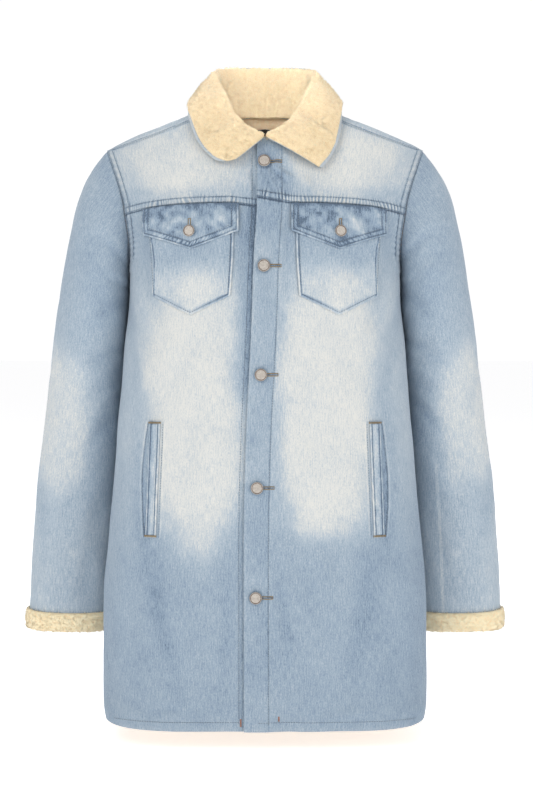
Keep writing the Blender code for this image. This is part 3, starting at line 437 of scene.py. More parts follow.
def borderAway(grid, sides="lrbt"):
    across, up = arcs(grid, 1), arcs(grid, 0)
    away = np.full(grid.shape[:2], 0.06)
    if "l" in sides:
        away = np.minimum(away, across)
    if "r" in sides:
        away = np.minimum(away, across[:, -1:] - across)
    if "b" in sides:
        away = np.minimum(away, up)
    if "t" in sides:
        away = np.minimum(away, up[-1:] - up)
    return away


def newMesh(name, points, groups, finishes, finishIndex=None, marks=None):
    groups = [np.asarray(group) for group in groups if len(group)]
    sizes = np.concatenate([np.full(len(group), group.shape[1]) for group in groups])
    corners = np.concatenate([group.ravel() for group in groups])
    mesh = bpy.data.meshes.new(name)
    mesh.vertices.add(len(points))
    mesh.vertices.foreach_set("co", np.asarray(points, np.float32).ravel())
    mesh.loops.add(len(corners))
    mesh.loops.foreach_set("vertex_index", corners.astype(np.int32))
    mesh.polygons.add(len(sizes))
    mesh.polygons.foreach_set("loop_start", (np.cumsum(sizes) - sizes).astype(np.int32))
    for finish in finishes:
        mesh.materials.append(finish)
    if finishIndex is not None:
        mesh.polygons.foreach_set("material_index", np.asarray(finishIndex, np.int32))
    mesh.polygons.foreach_set("use_smooth", np.ones(len(sizes), bool))
    mesh.update(calc_edges=True)
    for key, values in (marks or {}).items():
        values = np.asarray(values, np.float32)
        layer = mesh.attributes.new(key, "FLOAT_VECTOR" if values.ndim == 2 else "FLOAT", "POINT")
        layer.data.foreach_set("vector" if values.ndim == 2 else "value", values.ravel())
    made = bpy.data.objects.new(name, mesh)
    bpy.context.scene.collection.objects.link(made)
    return made


# a closed thin shell: a fine outer grid, an inner grid with every third row and column, and a rim
def clothShell(name, outer, inner, finishes, marks, ring=False):
    half = outer.shape[0] * outer.shape[1]
    grid = np.arange(half).reshape(outer.shape[:2])
    gridIn = half + np.arange(inner.shape[0] * inner.shape[1]).reshape(inner.shape[:2])
    if ring:
        grid = np.concatenate([grid, grid[:, :1]], 1)
        gridIn = np.concatenate([gridIn, gridIn[:, :1]], 1)
    quads = np.stack([grid[:-1, :-1], grid[:-1, 1:], grid[1:, 1:], grid[1:, :-1]], -1).reshape(-1, 4)
    quadsIn = np.stack([gridIn[:-1, :-1], gridIn[1:, :-1], gridIn[1:, 1:], gridIn[:-1, 1:]], -1)
    quadsIn = quadsIn.reshape(-1, 4)
    lines = [(grid[0], gridIn[0]), (grid[-1][::-1], gridIn[-1][::-1])]
    if not ring:
        lines += [(grid[:, 0][::-1], gridIn[:, 0][::-1]), (grid[:, -1], gridIn[:, -1])]
    rims = []
    for line, lineIn in lines:
        for i in range(len(lineIn) - 1):
            rims.append([*line[3 * i : 3 * i + 4][::-1], lineIn[i], lineIn[i + 1]])
    groups = [quads, quadsIn, np.array(rims)]
    r, c = outer.shape[0] // 2, outer.shape[1] // 2
    facing = np.cross(outer[r, c] - outer[r, c - 1], outer[r, c] - outer[r - 1, c])
    if np.dot(facing, outer[r, c] - inner[r // 3, c // 3]) < 0:
        groups = [group[:, ::-1] for group in groups]
    index = np.repeat([0, 1, 0], [len(group) for group in groups])
    points = np.concatenate([outer.reshape(-1, 3), inner.reshape(-1, 3)])
    whole = {}
    for key, value in marks.items():
        tail = value.shape[2:]
        value = np.broadcast_to(value, outer.shape[:2] + tail)
        whole[key] = np.concatenate([value.reshape(half, *tail), value[::3, ::3].reshape(-1, *tail)])
    return newMesh(name, points, groups, finishes, index, whole)


def clothPlace(across, along):
    across, along = np.broadcast_arrays(across, along)
    return np.stack([across, along, np.zeros(across.shape)], -1)


def third(count):
    return 3 * int(round(count * dense / 3)) + 1


def newFinish(name):
    finish = bpy.data.materials.new(name)
    finish.use_nodes = True
    tree = finish.node_tree
    tree.nodes.clear()
    surface = tree.nodes.new("ShaderNodeBsdfPrincipled")
    out = tree.nodes.new("ShaderNodeOutputMaterial")
    tree.links.new(surface.outputs["BSDF"], out.inputs["Surface"])
    return finish, tree, surface


def wire(tree, kind, settings, inputs, output=0):
    node = tree.nodes.new("ShaderNode" + kind)
    for key, value in settings.items():
        setattr(node, key, value)
    for key, value in inputs.items():
        if isinstance(value, bpy.types.NodeSocket):
            tree.links.new(value, node.inputs[key])
        else:
            node.inputs[key].default_value = value
    return node.outputs[output]


def calc(tree, operation, a, b=0.0, clamp=False):
    return wire(tree, "Math", {"operation": operation, "use_clamp": clamp}, {0: a, 1: b})


def mark(tree, key, output="Fac"):
    return wire(tree, "Attribute", {"attribute_name": key}, {}, output)


def grain(tree, place, scale, detail=2.0, rough=0.5):
    stretched = wire(tree, "VectorMath", {"operation": "MULTIPLY"}, {0: place, 1: scale})
    grain = {"Vector": stretched, "Scale": 1.0, "Detail": detail, "Roughness": rough}
    return wire(tree, "TexNoise", {}, grain)


def ramp(tree, value, stops):
    node = tree.nodes.new("ShaderNodeValToRGB")
    while len(node.color_ramp.elements) < len(stops):
        node.color_ramp.elements.new(0.5)
    for element, (at, colour) in zip(node.color_ramp.elements, stops):
        element.position = at
        element.color = (*colour, 1)
    tree.links.new(value, node.inputs[0])
    return node.outputs[0]


def spanned(tree, value, low, high):
    limits = {"From Min": 0.3, "From Max": 0.7, "To Min": low, "To Max": high}
    return wire(tree, "MapRange", {}, {"Value": value, **limits})


# joins a finish's colour, roughness and bump to its surface, and sets its plain values
def dress(tree, surface, colour, rough, height, strength, deep, **values):
    bump = wire(tree, "Bump", {}, {"Height": height, "Strength": strength, "Distance": deep})
    for socket, value in (("Base Color", colour), ("Roughness", rough), ("Normal", bump)):
        tree.links.new(value, surface.inputs[socket])
    for key, value in values.items():
        surface.inputs[socketNames[key]].default_value = value


socketNames = {"sheen": "Sheen Weight", "sheenRough": "Sheen Roughness", "shine": "Specular IOR Level",
               "metallic": "Metallic"}


denimColours = [
    (0.00, (0.103, 0.148, 0.212)), (0.20, (0.221, 0.296, 0.388)), (0.42, (0.309, 0.383, 0.459)),
    (0.60, (0.395, 0.464, 0.528)), (0.80, (0.540, 0.570, 0.580)), (1.00, (0.670, 0.668, 0.636)),
]


def denimFinish(name):
    finish, tree, surface = newFinish(name)
    place = mark(tree, "clothPlace", "Vector")
    slub = grain(tree, place, (640, 75, 1), 2.0, 0.6)
    fleck = grain(tree, place, (980, 380, 1), 1.0, 0.5)
    cloud = grain(tree, place, (24, 17, 1), 3.0, 0.6)
    value = calc(tree, "ADD", mark(tree, "fadeAndShade"), calc(tree, "MULTIPLY", mark(tree, "wear"), 0.75))
    for part, low, high in ((slub, -0.15, 0.15), (fleck, -0.13, 0.13), (cloud, -0.05, 0.05)):
        value = calc(tree, "ADD", value, spanned(tree, part, low, high))
    # painted shade: the shade mark takes colour out in seam ditches, stitch grooves, pucker and crease
    # troughs, buttonhole slits, round the buttons and under overlapping edges
    value = calc(tree, "SUBTRACT", value, calc(tree, "MULTIPLY", mark(tree, "shade"), 0.55), True)
    rough = calc(tree, "ADD", 0.78, calc(tree, "MULTIPLY", fleck, 0.16))
    ribs = wire(tree, "VectorMath", {"operation": "DOT_PRODUCT"}, {0: place, 1: (4800, 4100, 0)}, 1)
    twill = calc(tree, "MULTIPLY", calc(tree, "SINE", ribs), 0.25)
    height = calc(tree, "ADD", calc(tree, "ADD", slub, calc(tree, "MULTIPLY", fleck, 0.7)), twill)
    dress(tree, surface, ramp(tree, value, denimColours), rough, height, 0.55, 0.0005,
          sheen=0.12, sheenRough=0.5, shine=0.25)
    return finish


def pileFinish(name, low, middle, tip):
    finish, tree, surface = newFinish(name)
    place = wire(tree, "TexCoord", {}, {}, 3)
    curl = grain(tree, place, (620, 620, 620), 3.0, 0.7)
    tuft = grain(tree, place, (210, 210, 210), 2.0, 0.6)
    # painted shade: the colour runs darker into the valleys between the curls and lighter on their tips
    value = calc(tree, "ADD", mark(tree, "pileHeightAndShade"), spanned(tree, curl, -0.34, 0.34))
    value = calc(tree, "ADD", value, spanned(tree, tuft, -0.16, 0.16), True)
    colour = ramp(tree, value, [(0.0, low), (0.45, middle), (1.0, tip)])
    rough = calc(tree, "ADD", 0.86, calc(tree, "MULTIPLY", curl, 0.12))
    dress(tree, surface, colour, rough, curl, 0.9, 0.0020, sheen=0.25, sheenRough=0.6, shine=0.15)
    return finish


def threadFinish(name, dark, light):
    finish, tree, surface = newFinish(name)
    place = wire(tree, "TexCoord", {}, {}, 3)
    twist = grain(tree, place, (1700, 1700, 1700), 2.0, 0.6)
    fall = grain(tree, place, (60, 60, 60), 2.0, 0.5)
    value = calc(tree, "ADD", calc(tree, "MULTIPLY", twist, 0.5), calc(tree, "MULTIPLY", fall, 0.5))
    rough = calc(tree, "ADD", 0.6, calc(tree, "MULTIPLY", twist, 0.25))
    dress(tree, surface, ramp(tree, value, [(0.3, dark), (0.7, light)]), rough, twist, 0.4, 0.0002)
    return finish


def metalFinish(name):
    finish, tree, surface = newFinish(name)
    place = wire(tree, "TexCoord", {}, {}, 3)
    brush = grain(tree, place, (260, 900, 4200), 3.0, 0.6)
    stain = grain(tree, place, (420, 420, 420), 3.0, 0.6)
    worn = calc(tree, "ADD", calc(tree, "MULTIPLY", brush, 0.35), calc(tree, "MULTIPLY", stain, 0.5))
    value = calc(tree, "SUBTRACT", worn, calc(tree, "MULTIPLY", mark(tree, "rim"), 0.46), True)
    colours = [(0.0, (0.11, 0.09, 0.08)), (0.22, (0.30, 0.25, 0.22)), (0.48, (0.53, 0.49, 0.44)),
               (0.70, (0.72, 0.68, 0.635))]
    rough = calc(tree, "ADD", 0.42, calc(tree, "MULTIPLY", stain, 0.25))
    dress(tree, surface, ramp(tree, value, colours), rough, brush, 0.25, 0.0001, metallic=0.85)
    return finish


def tapeFinish(name):
    finish, tree, surface = newFinish(name)
    place = wire(tree, "TexCoord", {}, {}, 3)
    thread = grain(tree, place, (2600, 2600, 900), 1.0, 0.5)
    colour = ramp(tree, thread, [(0.3, (0.006, 0.006, 0.007)), (0.75, (0.035, 0.035, 0.038))])
    rough = calc(tree, "ADD", 0.55, calc(tree, "MULTIPLY", thread, 0.3))
    dress(tree, surface, colour, rough, thread, 0.5, 0.0003)
    return finish


denim = denimFinish("stonewashed denim")
sherpa = pileFinish("cream sherpa", (0.66, 0.48, 0.27), (0.86, 0.66, 0.39), (0.97, 0.80, 0.53))
# the lining, cuff and nap sherpas are brighter copies of the cream sherpa: painted light for the lining and
# cuffs, which lie in shade, and for the nap, which shades itself
lining = pileFinish("sherpa lining", (0.92, 0.64, 0.36), (1.0, 0.78, 0.50), (1.0, 0.86, 0.62))
cuffPile = pileFinish("cuff sherpa", (0.98, 0.68, 0.40), (1.0, 0.83, 0.53), (1.0, 0.90, 0.64))
napPile = pileFinish("loose nap", (0.92, 0.72, 0.44), (0.98, 0.83, 0.57), (1.0, 0.91, 0.70))
blueThread = threadFinish("blue grey thread", (0.09, 0.12, 0.155), (0.27, 0.32, 0.37))
tanThread = threadFinish("tan thread", (0.15, 0.11, 0.05), (0.48, 0.35, 0.18))
rustThread = threadFinish("rust thread", (0.36, 0.12, 0.05), (0.56, 0.26, 0.13))
metal = metalFinish("brushed nickel")
tape = tapeFinish("black tape")
print("finishes made")
totals = {}


def register(piece, slot, *nodes):
    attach(piece, "root")
    if nodes:
        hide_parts(*nodes)
    piece.data.calc_loop_triangles()
    totals[piece.name] = len(piece.data.loop_triangles)
    return piece


def edgePoints(x, z):
    return np.stack(findSeen(*np.broadcast_arrays(x, z)), -1)


# a patch between four edges: u runs from left to right and v from bottom to top
def patchForm(bottom, top, left, right, u, v):
    u, v = u[None, :, None], v[:, None, None]
    low = (1 - u) * (1 - v) * left[0] + u * (1 - v) * right[0]
    high = (1 - u) * v * left[-1] + u * v * right[-1]
    flat = (1 - v) * bottom[None] + v * top[None] + (1 - u) * left[:, None] + u * right[:, None]
    return np.moveaxis(flat - low - high, -1, 0)


def closedPatch(bottom, top, left, right, u, v):
    right[0], right[-1], left[0], left[-1] = bottom[-1], top[-1], bottom[0], top[0]
    return patchForm(bottom, top, left, right, u, v)


def sideX(z):
    return np.where(z < jacket["underarmZ"], widthAt(z) - 1e-6, armholeX(z))


# a panel's edge down the armhole and the side seam
def panelSide(z, sign):
    side = np.stack(findSeen(sign * sideX(z), z), -1)
    square = smoothTable(bodyTable, "z", "square", z)
    near = np.sqrt(2 / square) * jacket["sideGap"] ** (square / 2)
    armholeTurn = side[:, 0] - sign * jacket["armholeTurn"]
    side[:, 0] = np.where(z <= jacket["underarmZ"], sign * (math.pi / 2 - near), armholeTurn)
    return side


def armholeStop(sign):
    return sign * armholeX(yokeLine(armholeX(jacket["yokeSideZ"])))


def frontGrid(sign, shift, rows, columns):
    v, u = np.linspace(0, 1, rows), np.linspace(0, 1, columns)
    low, gap = jacket["hemZ"] + jacket["hemRise"], jacket["gap"]
    sideZ = np.interp(v, [0, 0.86, 1], [low, jacket["underarmZ"], jacket["yokeSideZ"]])
    right = panelSide(sideZ, sign)
    start, over = edgeX(jacket["yokeZ"]) + shift, shift == 0
    innerZ = np.linspace(jacket["hemZ"], yokeLine(start, over) - gap / 2, rows)
    left = edgePoints(edgeX(innerZ) + shift, innerZ)
    hemTurn = left[0, 0] + (right[0, 0] - left[0, 0]) * u
    bottom = np.stack([hemTurn, hemLine(hemTurn) - jacket["chestZ"]], -1)
    spread = jacket["topSpread"]
    topX = start + (armholeStop(sign) - start) * np.sin(u * spread) / math.sin(spread)
    top = edgePoints(topX, yokeLine(topX, over) - gap / 2)
    return closedPatch(bottom, top, left, right, u, v)


def yokeGrid(sign, shift, rows, columns):
    v, u = np.linspace(0, 1, rows), np.linspace(0, 1, columns)
    gap, neck, tip = jacket["gap"], sign * jacket["neckX"], sign * jacket["tipX"]
    start, over = edgeX(jacket["yokeZ"]) + shift, shift == 0
    turnAt = round(0.42 * (columns - 1))
    shoulderX = np.linspace(neck, tip, columns - turnAt)[1:]
    topX = np.concatenate([np.linspace(start, neck, turnAt + 1), shoulderX])
    bottomX = start + (armholeStop(sign) - start) * u
    tuck = 0.0090 * smoothStep((0.034 - np.abs(topX)) / 0.014)  # runs up behind the collar's leaves
    top = edgePoints(topX, neckLine(topX) + tuck)
    bottom = edgePoints(bottomX, yokeLine(bottomX, over) + gap / 2)
    innerZ = np.linspace(yokeLine(start, over) + gap / 2, jacket["neckFrontZ"] + tuck[0], rows)
    left = edgePoints(edgeX(innerZ) + shift, innerZ)
    outerZ = np.linspace(yokeLine(bottomX[-1]) + gap / 2, jacket["tipZ"] - jacket["tipDrop"], rows)
    right = edgePoints(sign * (armholeX(outerZ) - gap), outerZ)
    return closedPatch(bottom, top, left, right, u, v)


def backGrid(rows, columns):
    v, u = np.linspace(0, 1, rows), np.linspace(-1, 1, columns)
    low, gap, spread = jacket["hemZ"] + jacket["hemRise"], jacket["gap"], jacket["topSpread"]
    z = np.interp(v, [0, 0.88, 1], [low, jacket["underarmZ"], jacket["backYokeSideZ"]])
    z[-1] = backYokeLine(armholeX(jacket["backYokeSideZ"]))
    right = panelSide(z, 1)
    left = right * [-1, 1]
    bottom = np.stack([right[0, 0] * u, hemLine(right[0, 0] * u) - jacket["chestZ"]], -1)
    topX = armholeX(jacket["backYokeSideZ"]) * np.sin(u * spread) / math.sin(spread)
    top = edgePoints(topX, backYokeLine(topX) - gap / 2)
    return closedPatch(bottom, top, left, right, (u + 1) / 2, v)


def armholeEdge(sign, low, high, rows):
    climb = np.linspace(low, high, rows)
    z = np.full(rows, jacket["tipZ"])
    for _ in range(8):
        z = jacket["chestZ"] + (crest(armholeX(z)) - jacket["chestZ"]) * np.sin(climb)
    return np.stack([np.arcsin(sign * (armholeX(z) - jacket["gap"]) / widthAt(z)), climb], -1)


# the back yoke: q runs from 0 at the wearer's left armhole to 22 at the right one
def backYokeGrid(q, v):
    gap = jacket["gap"]
    half, side = np.minimum(q, 22 - q), np.where(q <= 11, 1.0, -1.0)
    wing = np.interp(half, [0, 5], [jacket["tipX"] - gap, jacket["neckX"]])
    seam = edgePoints(wing, neckLine(wing) + gap)
    seam[:, 1] = math.pi - seam[:, 1]
    neckPoint = edgePoints(jacket["neckX"], neckLine(jacket["neckX"]) + gap)
    start = math.asin(bodyForm(neckPoint[0], math.pi - neckPoint[1], 1)[1] / jacket["neckBackY"])
    around = start + (math.pi / 2 - start) * np.clip((half - 5) / 6, 0, 1)
    arcX, arcY = jacket["neckX"] * np.cos(around) / math.cos(start), jacket["neckBackY"] * np.sin(around)
    arc = np.stack(findAbove(arcX, arcY), -1)
    top = np.where((half <= 5)[:, None], seam, arc) * np.stack([side, np.ones(len(q))], -1)
    outX, midX = armholeX(jacket["backYokeSideZ"]) - gap, 0.87 * jacket["neckX"]
    bottomX = np.interp(half, [0, 5, 11], [outX, midX, 0]) * side
    bottom = edgePoints(bottomX, backYokeLine(bottomX) + gap / 2)
    ends = backYokeEnds(gap, outX)
    left = armholeEdge(1, *ends, len(v))
    right = left * [-1, 1]
    if q[0] == 0:  # the whole yoke; the lining takes only its middle
        bottom[0], top[0], bottom[-1], top[-1] = left[0], left[-1], right[0], right[-1]
    return patchForm(bottom, top, left, right, q / 22, v)


def backYokeEnds(gap, outX):
    low = findSeen(outX, backYokeLine(outX) + gap / 2)[1]
    tip = jacket["tipX"] - gap
    return low, math.pi - findSeen(tip, neckLine(tip) + gap)[1]


def seamEdges(away, along, seed):
    # the ditch at a seam, the abraded ridge beside it and painted shade in the ditch
    rag = 0.6 + 0.4 * softNoise(along / 0.008, away / 0.02, seed)
    ridge = bell((away - 0.0022) / 0.0016) * rag
    ditch = bell(away / 0.0010)
    return -0.0004 * ditch, 0.34 * ridge, 0.45 * ditch


# x and z of each front button, then sizes of both kinds and of their buttonholes
buttonPlaces = [(-0.0008, -0.0740), (-0.0013, -0.2125), (-0.0053, -0.3564), (-0.0105, -0.5067),
                (-0.0123, -0.6537)]
buttons = {"radius": 0.0083, "above": 0.0006, "holeAway": 0.0145, "holeLong": 0.0165, "holeHalf": 0.0023,
           "slitHalf": 0.0082,
           "flapRadius": 0.0078, "flapX": 0.0990, "flapZ": -0.1665,
           "flapHoleZ": -0.1565, "flapHoleLong": 0.0120, "flapHoleHalf": 0.0021, "around": 56}

weltShape = {"xTop": 0.1465, "xBottom": 0.1530, "top": -0.419, "bottom": -0.575, "wide": 0.0145,
             "innerRow": 0.0105, "outerRow": 0.0100, "bow": 0.0050,
             "cut": (0.0176, 0.157), "area": None, "rows": (0.0028, 0.0028), "ribs": 0, "edges": "lrbt"}


def weltMiddle(z):
    share = (z - weltShape["bottom"]) / (weltShape["top"] - weltShape["bottom"])
    return weltShape["xBottom"] + (weltShape["xTop"] - weltShape["xBottom"]) * share


# the groove that a row of stitches pulls into the cloth
def groove(away):
    return bell(away / 0.00095)


# wear and painted shade round a welt, which has a bowed row of stitches outside it and a straight one inside;
# the shade lies in the rows' grooves and over the opening between the welt and the bowed row
def weltMarks(x, z):
    share = np.clip((z - weltShape["bottom"]) / (weltShape["top"] - weltShape["bottom"]), 0, 1)
    across = np.abs(x) - weltMiddle(z)
    bow = across - weltShape["outerRow"] - weltShape["bow"] * np.sin(math.pi * share)
    onWelt = (z > weltShape["bottom"]) * (z < weltShape["top"])
    rows = 0.60 * groove(bow) + 0.50 * groove(across + weltShape["innerRow"])
    ridges = bell((bow - 0.0020) / 0.0011) + bell((across + 0.0124) / 0.0011)
    return 0.30 * onWelt * ridges, onWelt * (rows + 0.30 * (across > 0) * (bow < 0))


# wear and painted shade down the over front: its folded edge, the placket's row, painted shade in the
# buttonhole slits and a painted shadow round each button
def placketMarks(x, z):
    band = x - edgeX(z)
    ragged = 0.5 + 0.5 * softNoise(z / 0.012, 0.3, 46)
    wear = 0.18 * bell((band - 0.0015) / 0.002) * ragged
    wear = wear + 0.14 * bell((band - 0.0350) / 0.0014) * (0.6 + 0.4 * softNoise(z / 0.006, 0.7, 47))
    shade = 0.0 * wear
    for buttonX, buttonZ in buttonPlaces:
        along = np.abs(x - buttonX - buttons["holeAway"])
        slitShade = bell((z - buttonZ) / 0.0011) * (along < buttons["slitHalf"])
        # a painted shadow round each button
        ring = bell((np.hypot(x - buttonX, z - buttonZ) - 0.0088) / 0.0018)
        shade = shade + 0.9 * slitShade + 0.35 * ring
    return wear, shade, 0.45 * groove(band - rowsAt["placket"])


# the painted shadow that the over front throws on the under one
def underMarks(x, z):
    band = x - edgeX(z)
    dip = smoothStep((z + 0.44) / 0.10) * smoothStep((-0.115 - z) / 0.02)
    shade = (0.22 + 0.50 * dip) * bell(band / (0.004 + 0.008 * dip))
    return 0.0, shade, 0.2 * groove(band + rowsAt["underEdge"])


def frontMarks(x, z, over, away, along):
    lift, wear, shade = seamEdges(away, along, 44)
    above = z - yokeLine(x, over)
    ribs = seamBand(x, above, 0.0045, 3)
    wear = wear + 0.44 * np.clip(ribs, 0, 1) + 0.06 * bell((above - 0.005) / 0.005)
    # painted shade in the pucker troughs and a painted shadow just under the yoke band
    shade = shade + 1.05 * np.clip(-ribs, 0, 1) + 0.45 * bell(above / 0.0030) * (above < 0)
    inside = armholeX(z) - np.abs(x)
    onArm = smoothStep((z - jacket["underarmZ"] - 0.004) / 0.01)
    armRibs = seamBand(z, inside, 0.0085, 6) * onArm * smoothStep((inside + 0.0002) / 0.001)
    wear = wear + 0.12 * np.clip(armRibs, 0, 1) + 0.10 * bell((inside - 0.005) / 0.004) * onArm
    # painted shade in the armhole's pucker troughs
    shade = shade + 0.22 * np.clip(-armRibs, 0, 1)
    hemRagged = 0.6 + 0.4 * softNoise(x / 0.010, 0.5, 45)
    wear = wear + 0.20 * bell((z - jacket["hemZ"]) / 0.005) * hemRagged
    top, onNeck = neckLine(x) - z, np.abs(x) > 0.085
    wear = wear + 0.22 * bell((top - 0.0008) / 0.0012) * onNeck
    rows = sum(groove(above - row) for row in rowsAt["yoke"]) + groove(top - rowsAt["neck"]) * onNeck
    rows = rows + sum(groove(inside - row) for row in rowsAt["armhole"]) * onArm
    edgeWear, edgeShade, edgeRows = placketMarks(x, z) if over else underMarks(x, z)
    weltWear, weltShade = weltMarks(x, z)
    wear, shade, rows = wear + weltWear + edgeWear, shade + weltShade + edgeShade, rows + edgeRows
    # the rows' grooves add painted shade as well as a dip
    return lift - 0.0003 * rows, np.clip(wear, 0, 1), np.clip(shade + 0.80 * rows, 0, 1)


def backMarks(x, z, away, along):
    lift, wear, shade = seamEdges(away, along, 52)
    pucker = gathers(x, z - backYokeLine(x) - 0.003, 0.0048, 0.0095, 21)
    wear = wear + 0.16 * np.clip(pucker, 0, 1)
    # painted shade in the pucker troughs
    shade = shade + 0.35 * np.clip(-pucker, 0, 1)
    inside = armholeX(z) - np.abs(x)
    wear = wear + 0.2 * bell((inside - 0.004) / 0.005) * (z > jacket["underarmZ"] - 0.004)
    hemRagged = 0.6 + 0.4 * softNoise(x / 0.010, 0.5, 53)
    wear = wear + 0.22 * bell((z - jacket["hemZ"]) / 0.006) * hemRagged
    return lift, np.clip(wear, 0, 1), np.clip(shade, 0, 1)


def creaseDepth(x, z, side):
    if side > 0:
        return creaseLift(x, z, backCreases)
    above = z >= yokeLine(x)
    return creaseLift(x, z, frontCreases) * ~above + creaseLift(x, z, yokeCreases) * above


# a panel on the front (side -1) or the back (side 1) of the body; the over front stands off the under one
def makePanel(name, grid, side, over, cloth):
    turn, climb = grid
    base = bodyForm(turn, climb, side)
    x, z = base[..., 0], base[..., 2]
    along, away = arcs(base, 1) + arcs(base, 0), borderAway(base, cloth["seams"])
    if side < 0:
        out, fadeAndShade = frontRelief(x, z, over), frontFade(x, z, over)
        lift, wear, shade = frontMarks(x, z, over, away, along)
    else:
        out, fadeAndShade = backRelief(x, z), backFade(x, z)
        lift, wear, shade = backMarks(x, z, away, along)
    out = out + lift + (frontLap(x, z) if over else 0)
    settle = smoothStep(borderAway(base, "r" if over else "lrbt") / 0.03)
    out = out * (0.35 + 0.65 * settle)
    outer = onBody(turn, climb, side, out)
    inner = onBody(turn[::3, ::3], climb[::3, ::3], side, out[::3, ::3] - jacket["denim"])
    # painted shade in the creases' troughs
    creaseShade = np.clip(-creaseDepth(x, z, side) / 0.0022, 0, 1)
    marks = {"fadeAndShade": fadeAndShade, "wear": wear, "shade": np.clip(shade + 0.22 * creaseShade, 0, 1),
             "clothPlace": clothPlace(turn * 0.21, z + 0.05 * turn), "pileHeightAndShade": 0.5 + 0.0 * fadeAndShade}
    piece = register(clothShell(name, outer, inner, [denim, lining], marks), "denim", cloth["node"])


# each panel's node, flat cut, the sides that are seams, and what it hangs from
frontLeft = {"node": "front_left", "cut": (0.30, 0.71), "seams": "rt", "on": ["front_yoke_left"]}
frontRight = {"node": "front_right", "cut": (0.283, 0.71), "seams": "rt", "on": ["front_yoke_right"]}
yokeLeft = {"node": "front_yoke_left", "cut": (0.25, 0.13), "area": 0.0262, "seams": "rtb",
            "on": ["back_yoke"]}
yokeRight = {"node": "front_yoke_right", "cut": (0.22, 0.13), "area": 0.0269, "seams": "rtb",
             "on": ["back_yoke"]}
backPiece = {"node": "back_panel", "cut": (0.54, 0.70), "seams": "lrt", "on": ["back_yoke"]}
backTop = {"node": "back_yoke", "cut": (0.48, 0.24), "area": 0.0948, "seams": "lrtb", "on": []}

underLap = jacket["underLap"]
backYokePatch = backYokeGrid(np.linspace(0, 22, third(159)), np.linspace(0, 1, third(75)))
makePanel("frontLeft", frontGrid(1, 0.0, third(270), third(180)), -1, True, frontLeft)
makePanel("frontRight", frontGrid(-1, underLap, third(270), third(165)), -1, False, frontRight)
makePanel("yokeLeft", yokeGrid(1, 0.0, third(81), third(180)), -1, True, yokeLeft)
makePanel("yokeRight", yokeGrid(-1, underLap, third(81), third(165)), -1, False, yokeRight)
makePanel("backPanel", backGrid(third(168), third(159)), 1, False, backPiece)
makePanel("backYoke", backYokePatch, 1, False, backTop)
print("panels made")


sleeveTable = {
    "t": [0, 0.07, 0.14, 0.21, 0.30, 0.39, 0.48, 0.59, 0.70, 0.82, 0.95, 1.0],
    "ox": [0.2190, 0.2435, 0.2605, 0.2712, 0.2832, 0.2940, 0.3030, 0.3135, 0.3255, 0.3345, 0.3408, 0.3415],
    "oz": [-0.048, -0.080, -0.117, -0.159, -0.221, -0.284, -0.345, -0.420, -0.503, -0.595, -0.690, -0.727],
    "ix": [0.1862, 0.1876, 0.1887, 0.1900, 0.1928, 0.1962, 0.2004, 0.2050, 0.2108, 0.2160, 0.2200, 0.2210],
    "iz": [-0.208, -0.226, -0.243, -0.263, -0.296, -0.336, -0.383, -0.445, -0.517, -0.601, -0.692, -0.729],
    "y": [0, 0.002, 0.006, 0.011, 0.018, 0.028, 0.038, 0.049, 0.060, 0.068, 0.073, 0.075],
    "deep": [0.060, 0.070, 0.074, 0.074, 0.072, 0.069, 0.066, 0.061, 0.056, 0.051, 0.047, 0.046],
}
arm = {"square": 2.15, "end": 0.989, "cuffTop": 0.962, "cuffLining": 0.935, "cuffPile": 0.0046,
       "seam": -0.0004,
       "girth": 0.056, "long": 0.69}


def armholeLoop(around):
    top, low = jacket["tipZ"], jacket["underarmZ"]
    z = (top + low) / 2 + (top - low) / 2 * np.cos(around)
    turn, climb = findSeen(armholeX(z), z)
    ahead = (np.sin(around) >= 0)[..., None]
    points = np.where(ahead, bodyForm(turn, climb, -1), bodyForm(turn, climb, 1))
    points[..., 0] += arm["seam"]
    return points


def sleeveSection(around, t):
    at = {name: smoothTable(sleeveTable, "t", name, t) for name in sleeveTable if name != "t"}
    c = np.sign(np.cos(around)) * np.abs(np.cos(around)) ** (2 / arm["square"])
    s = np.sign(np.sin(around)) * np.abs(np.sin(around)) ** (2 / arm["square"])
    x = (at["ox"] + at["ix"]) / 2 + (at["ox"] - at["ix"]) / 2 * c
    z = (at["oz"] + at["iz"]) / 2 + (at["oz"] - at["iz"]) / 2 * c
    return np.stack([x, at["y"] - at["deep"] * s, z], -1)


def sleeveForm(around, t):
    around, t = np.broadcast_arrays(np.asarray(around, float), np.asarray(t, float))
    blend = smoothStep(1 - t / 0.14)[..., None]
    start = armholeLoop(around) - sleeveSection(around, np.zeros(around.shape))
    return sleeveSection(around, t) + start * blend


def onSleeve(around, t, out):
    around, t = np.broadcast_arrays(np.asarray(around, float), np.asarray(t, float))
    low = np.clip(t - 0.01, 0, 0.98)
    along = sleeveForm(around, low + 0.02) - sleeveForm(around, low)
    across = sleeveForm(around + 0.02, t) - sleeveForm(around - 0.02, t)
    normal = unit(np.cross(along, across))
    middle = sleeveForm(around + math.pi, t)
    facing = np.sign(np.sum(normal * (sleeveForm(around, t) - middle), axis=-1, keepdims=True))
    out = np.broadcast_to(np.asarray(out, float), t.shape)
    return sleeveForm(around, t) + normal * facing * out[..., None]


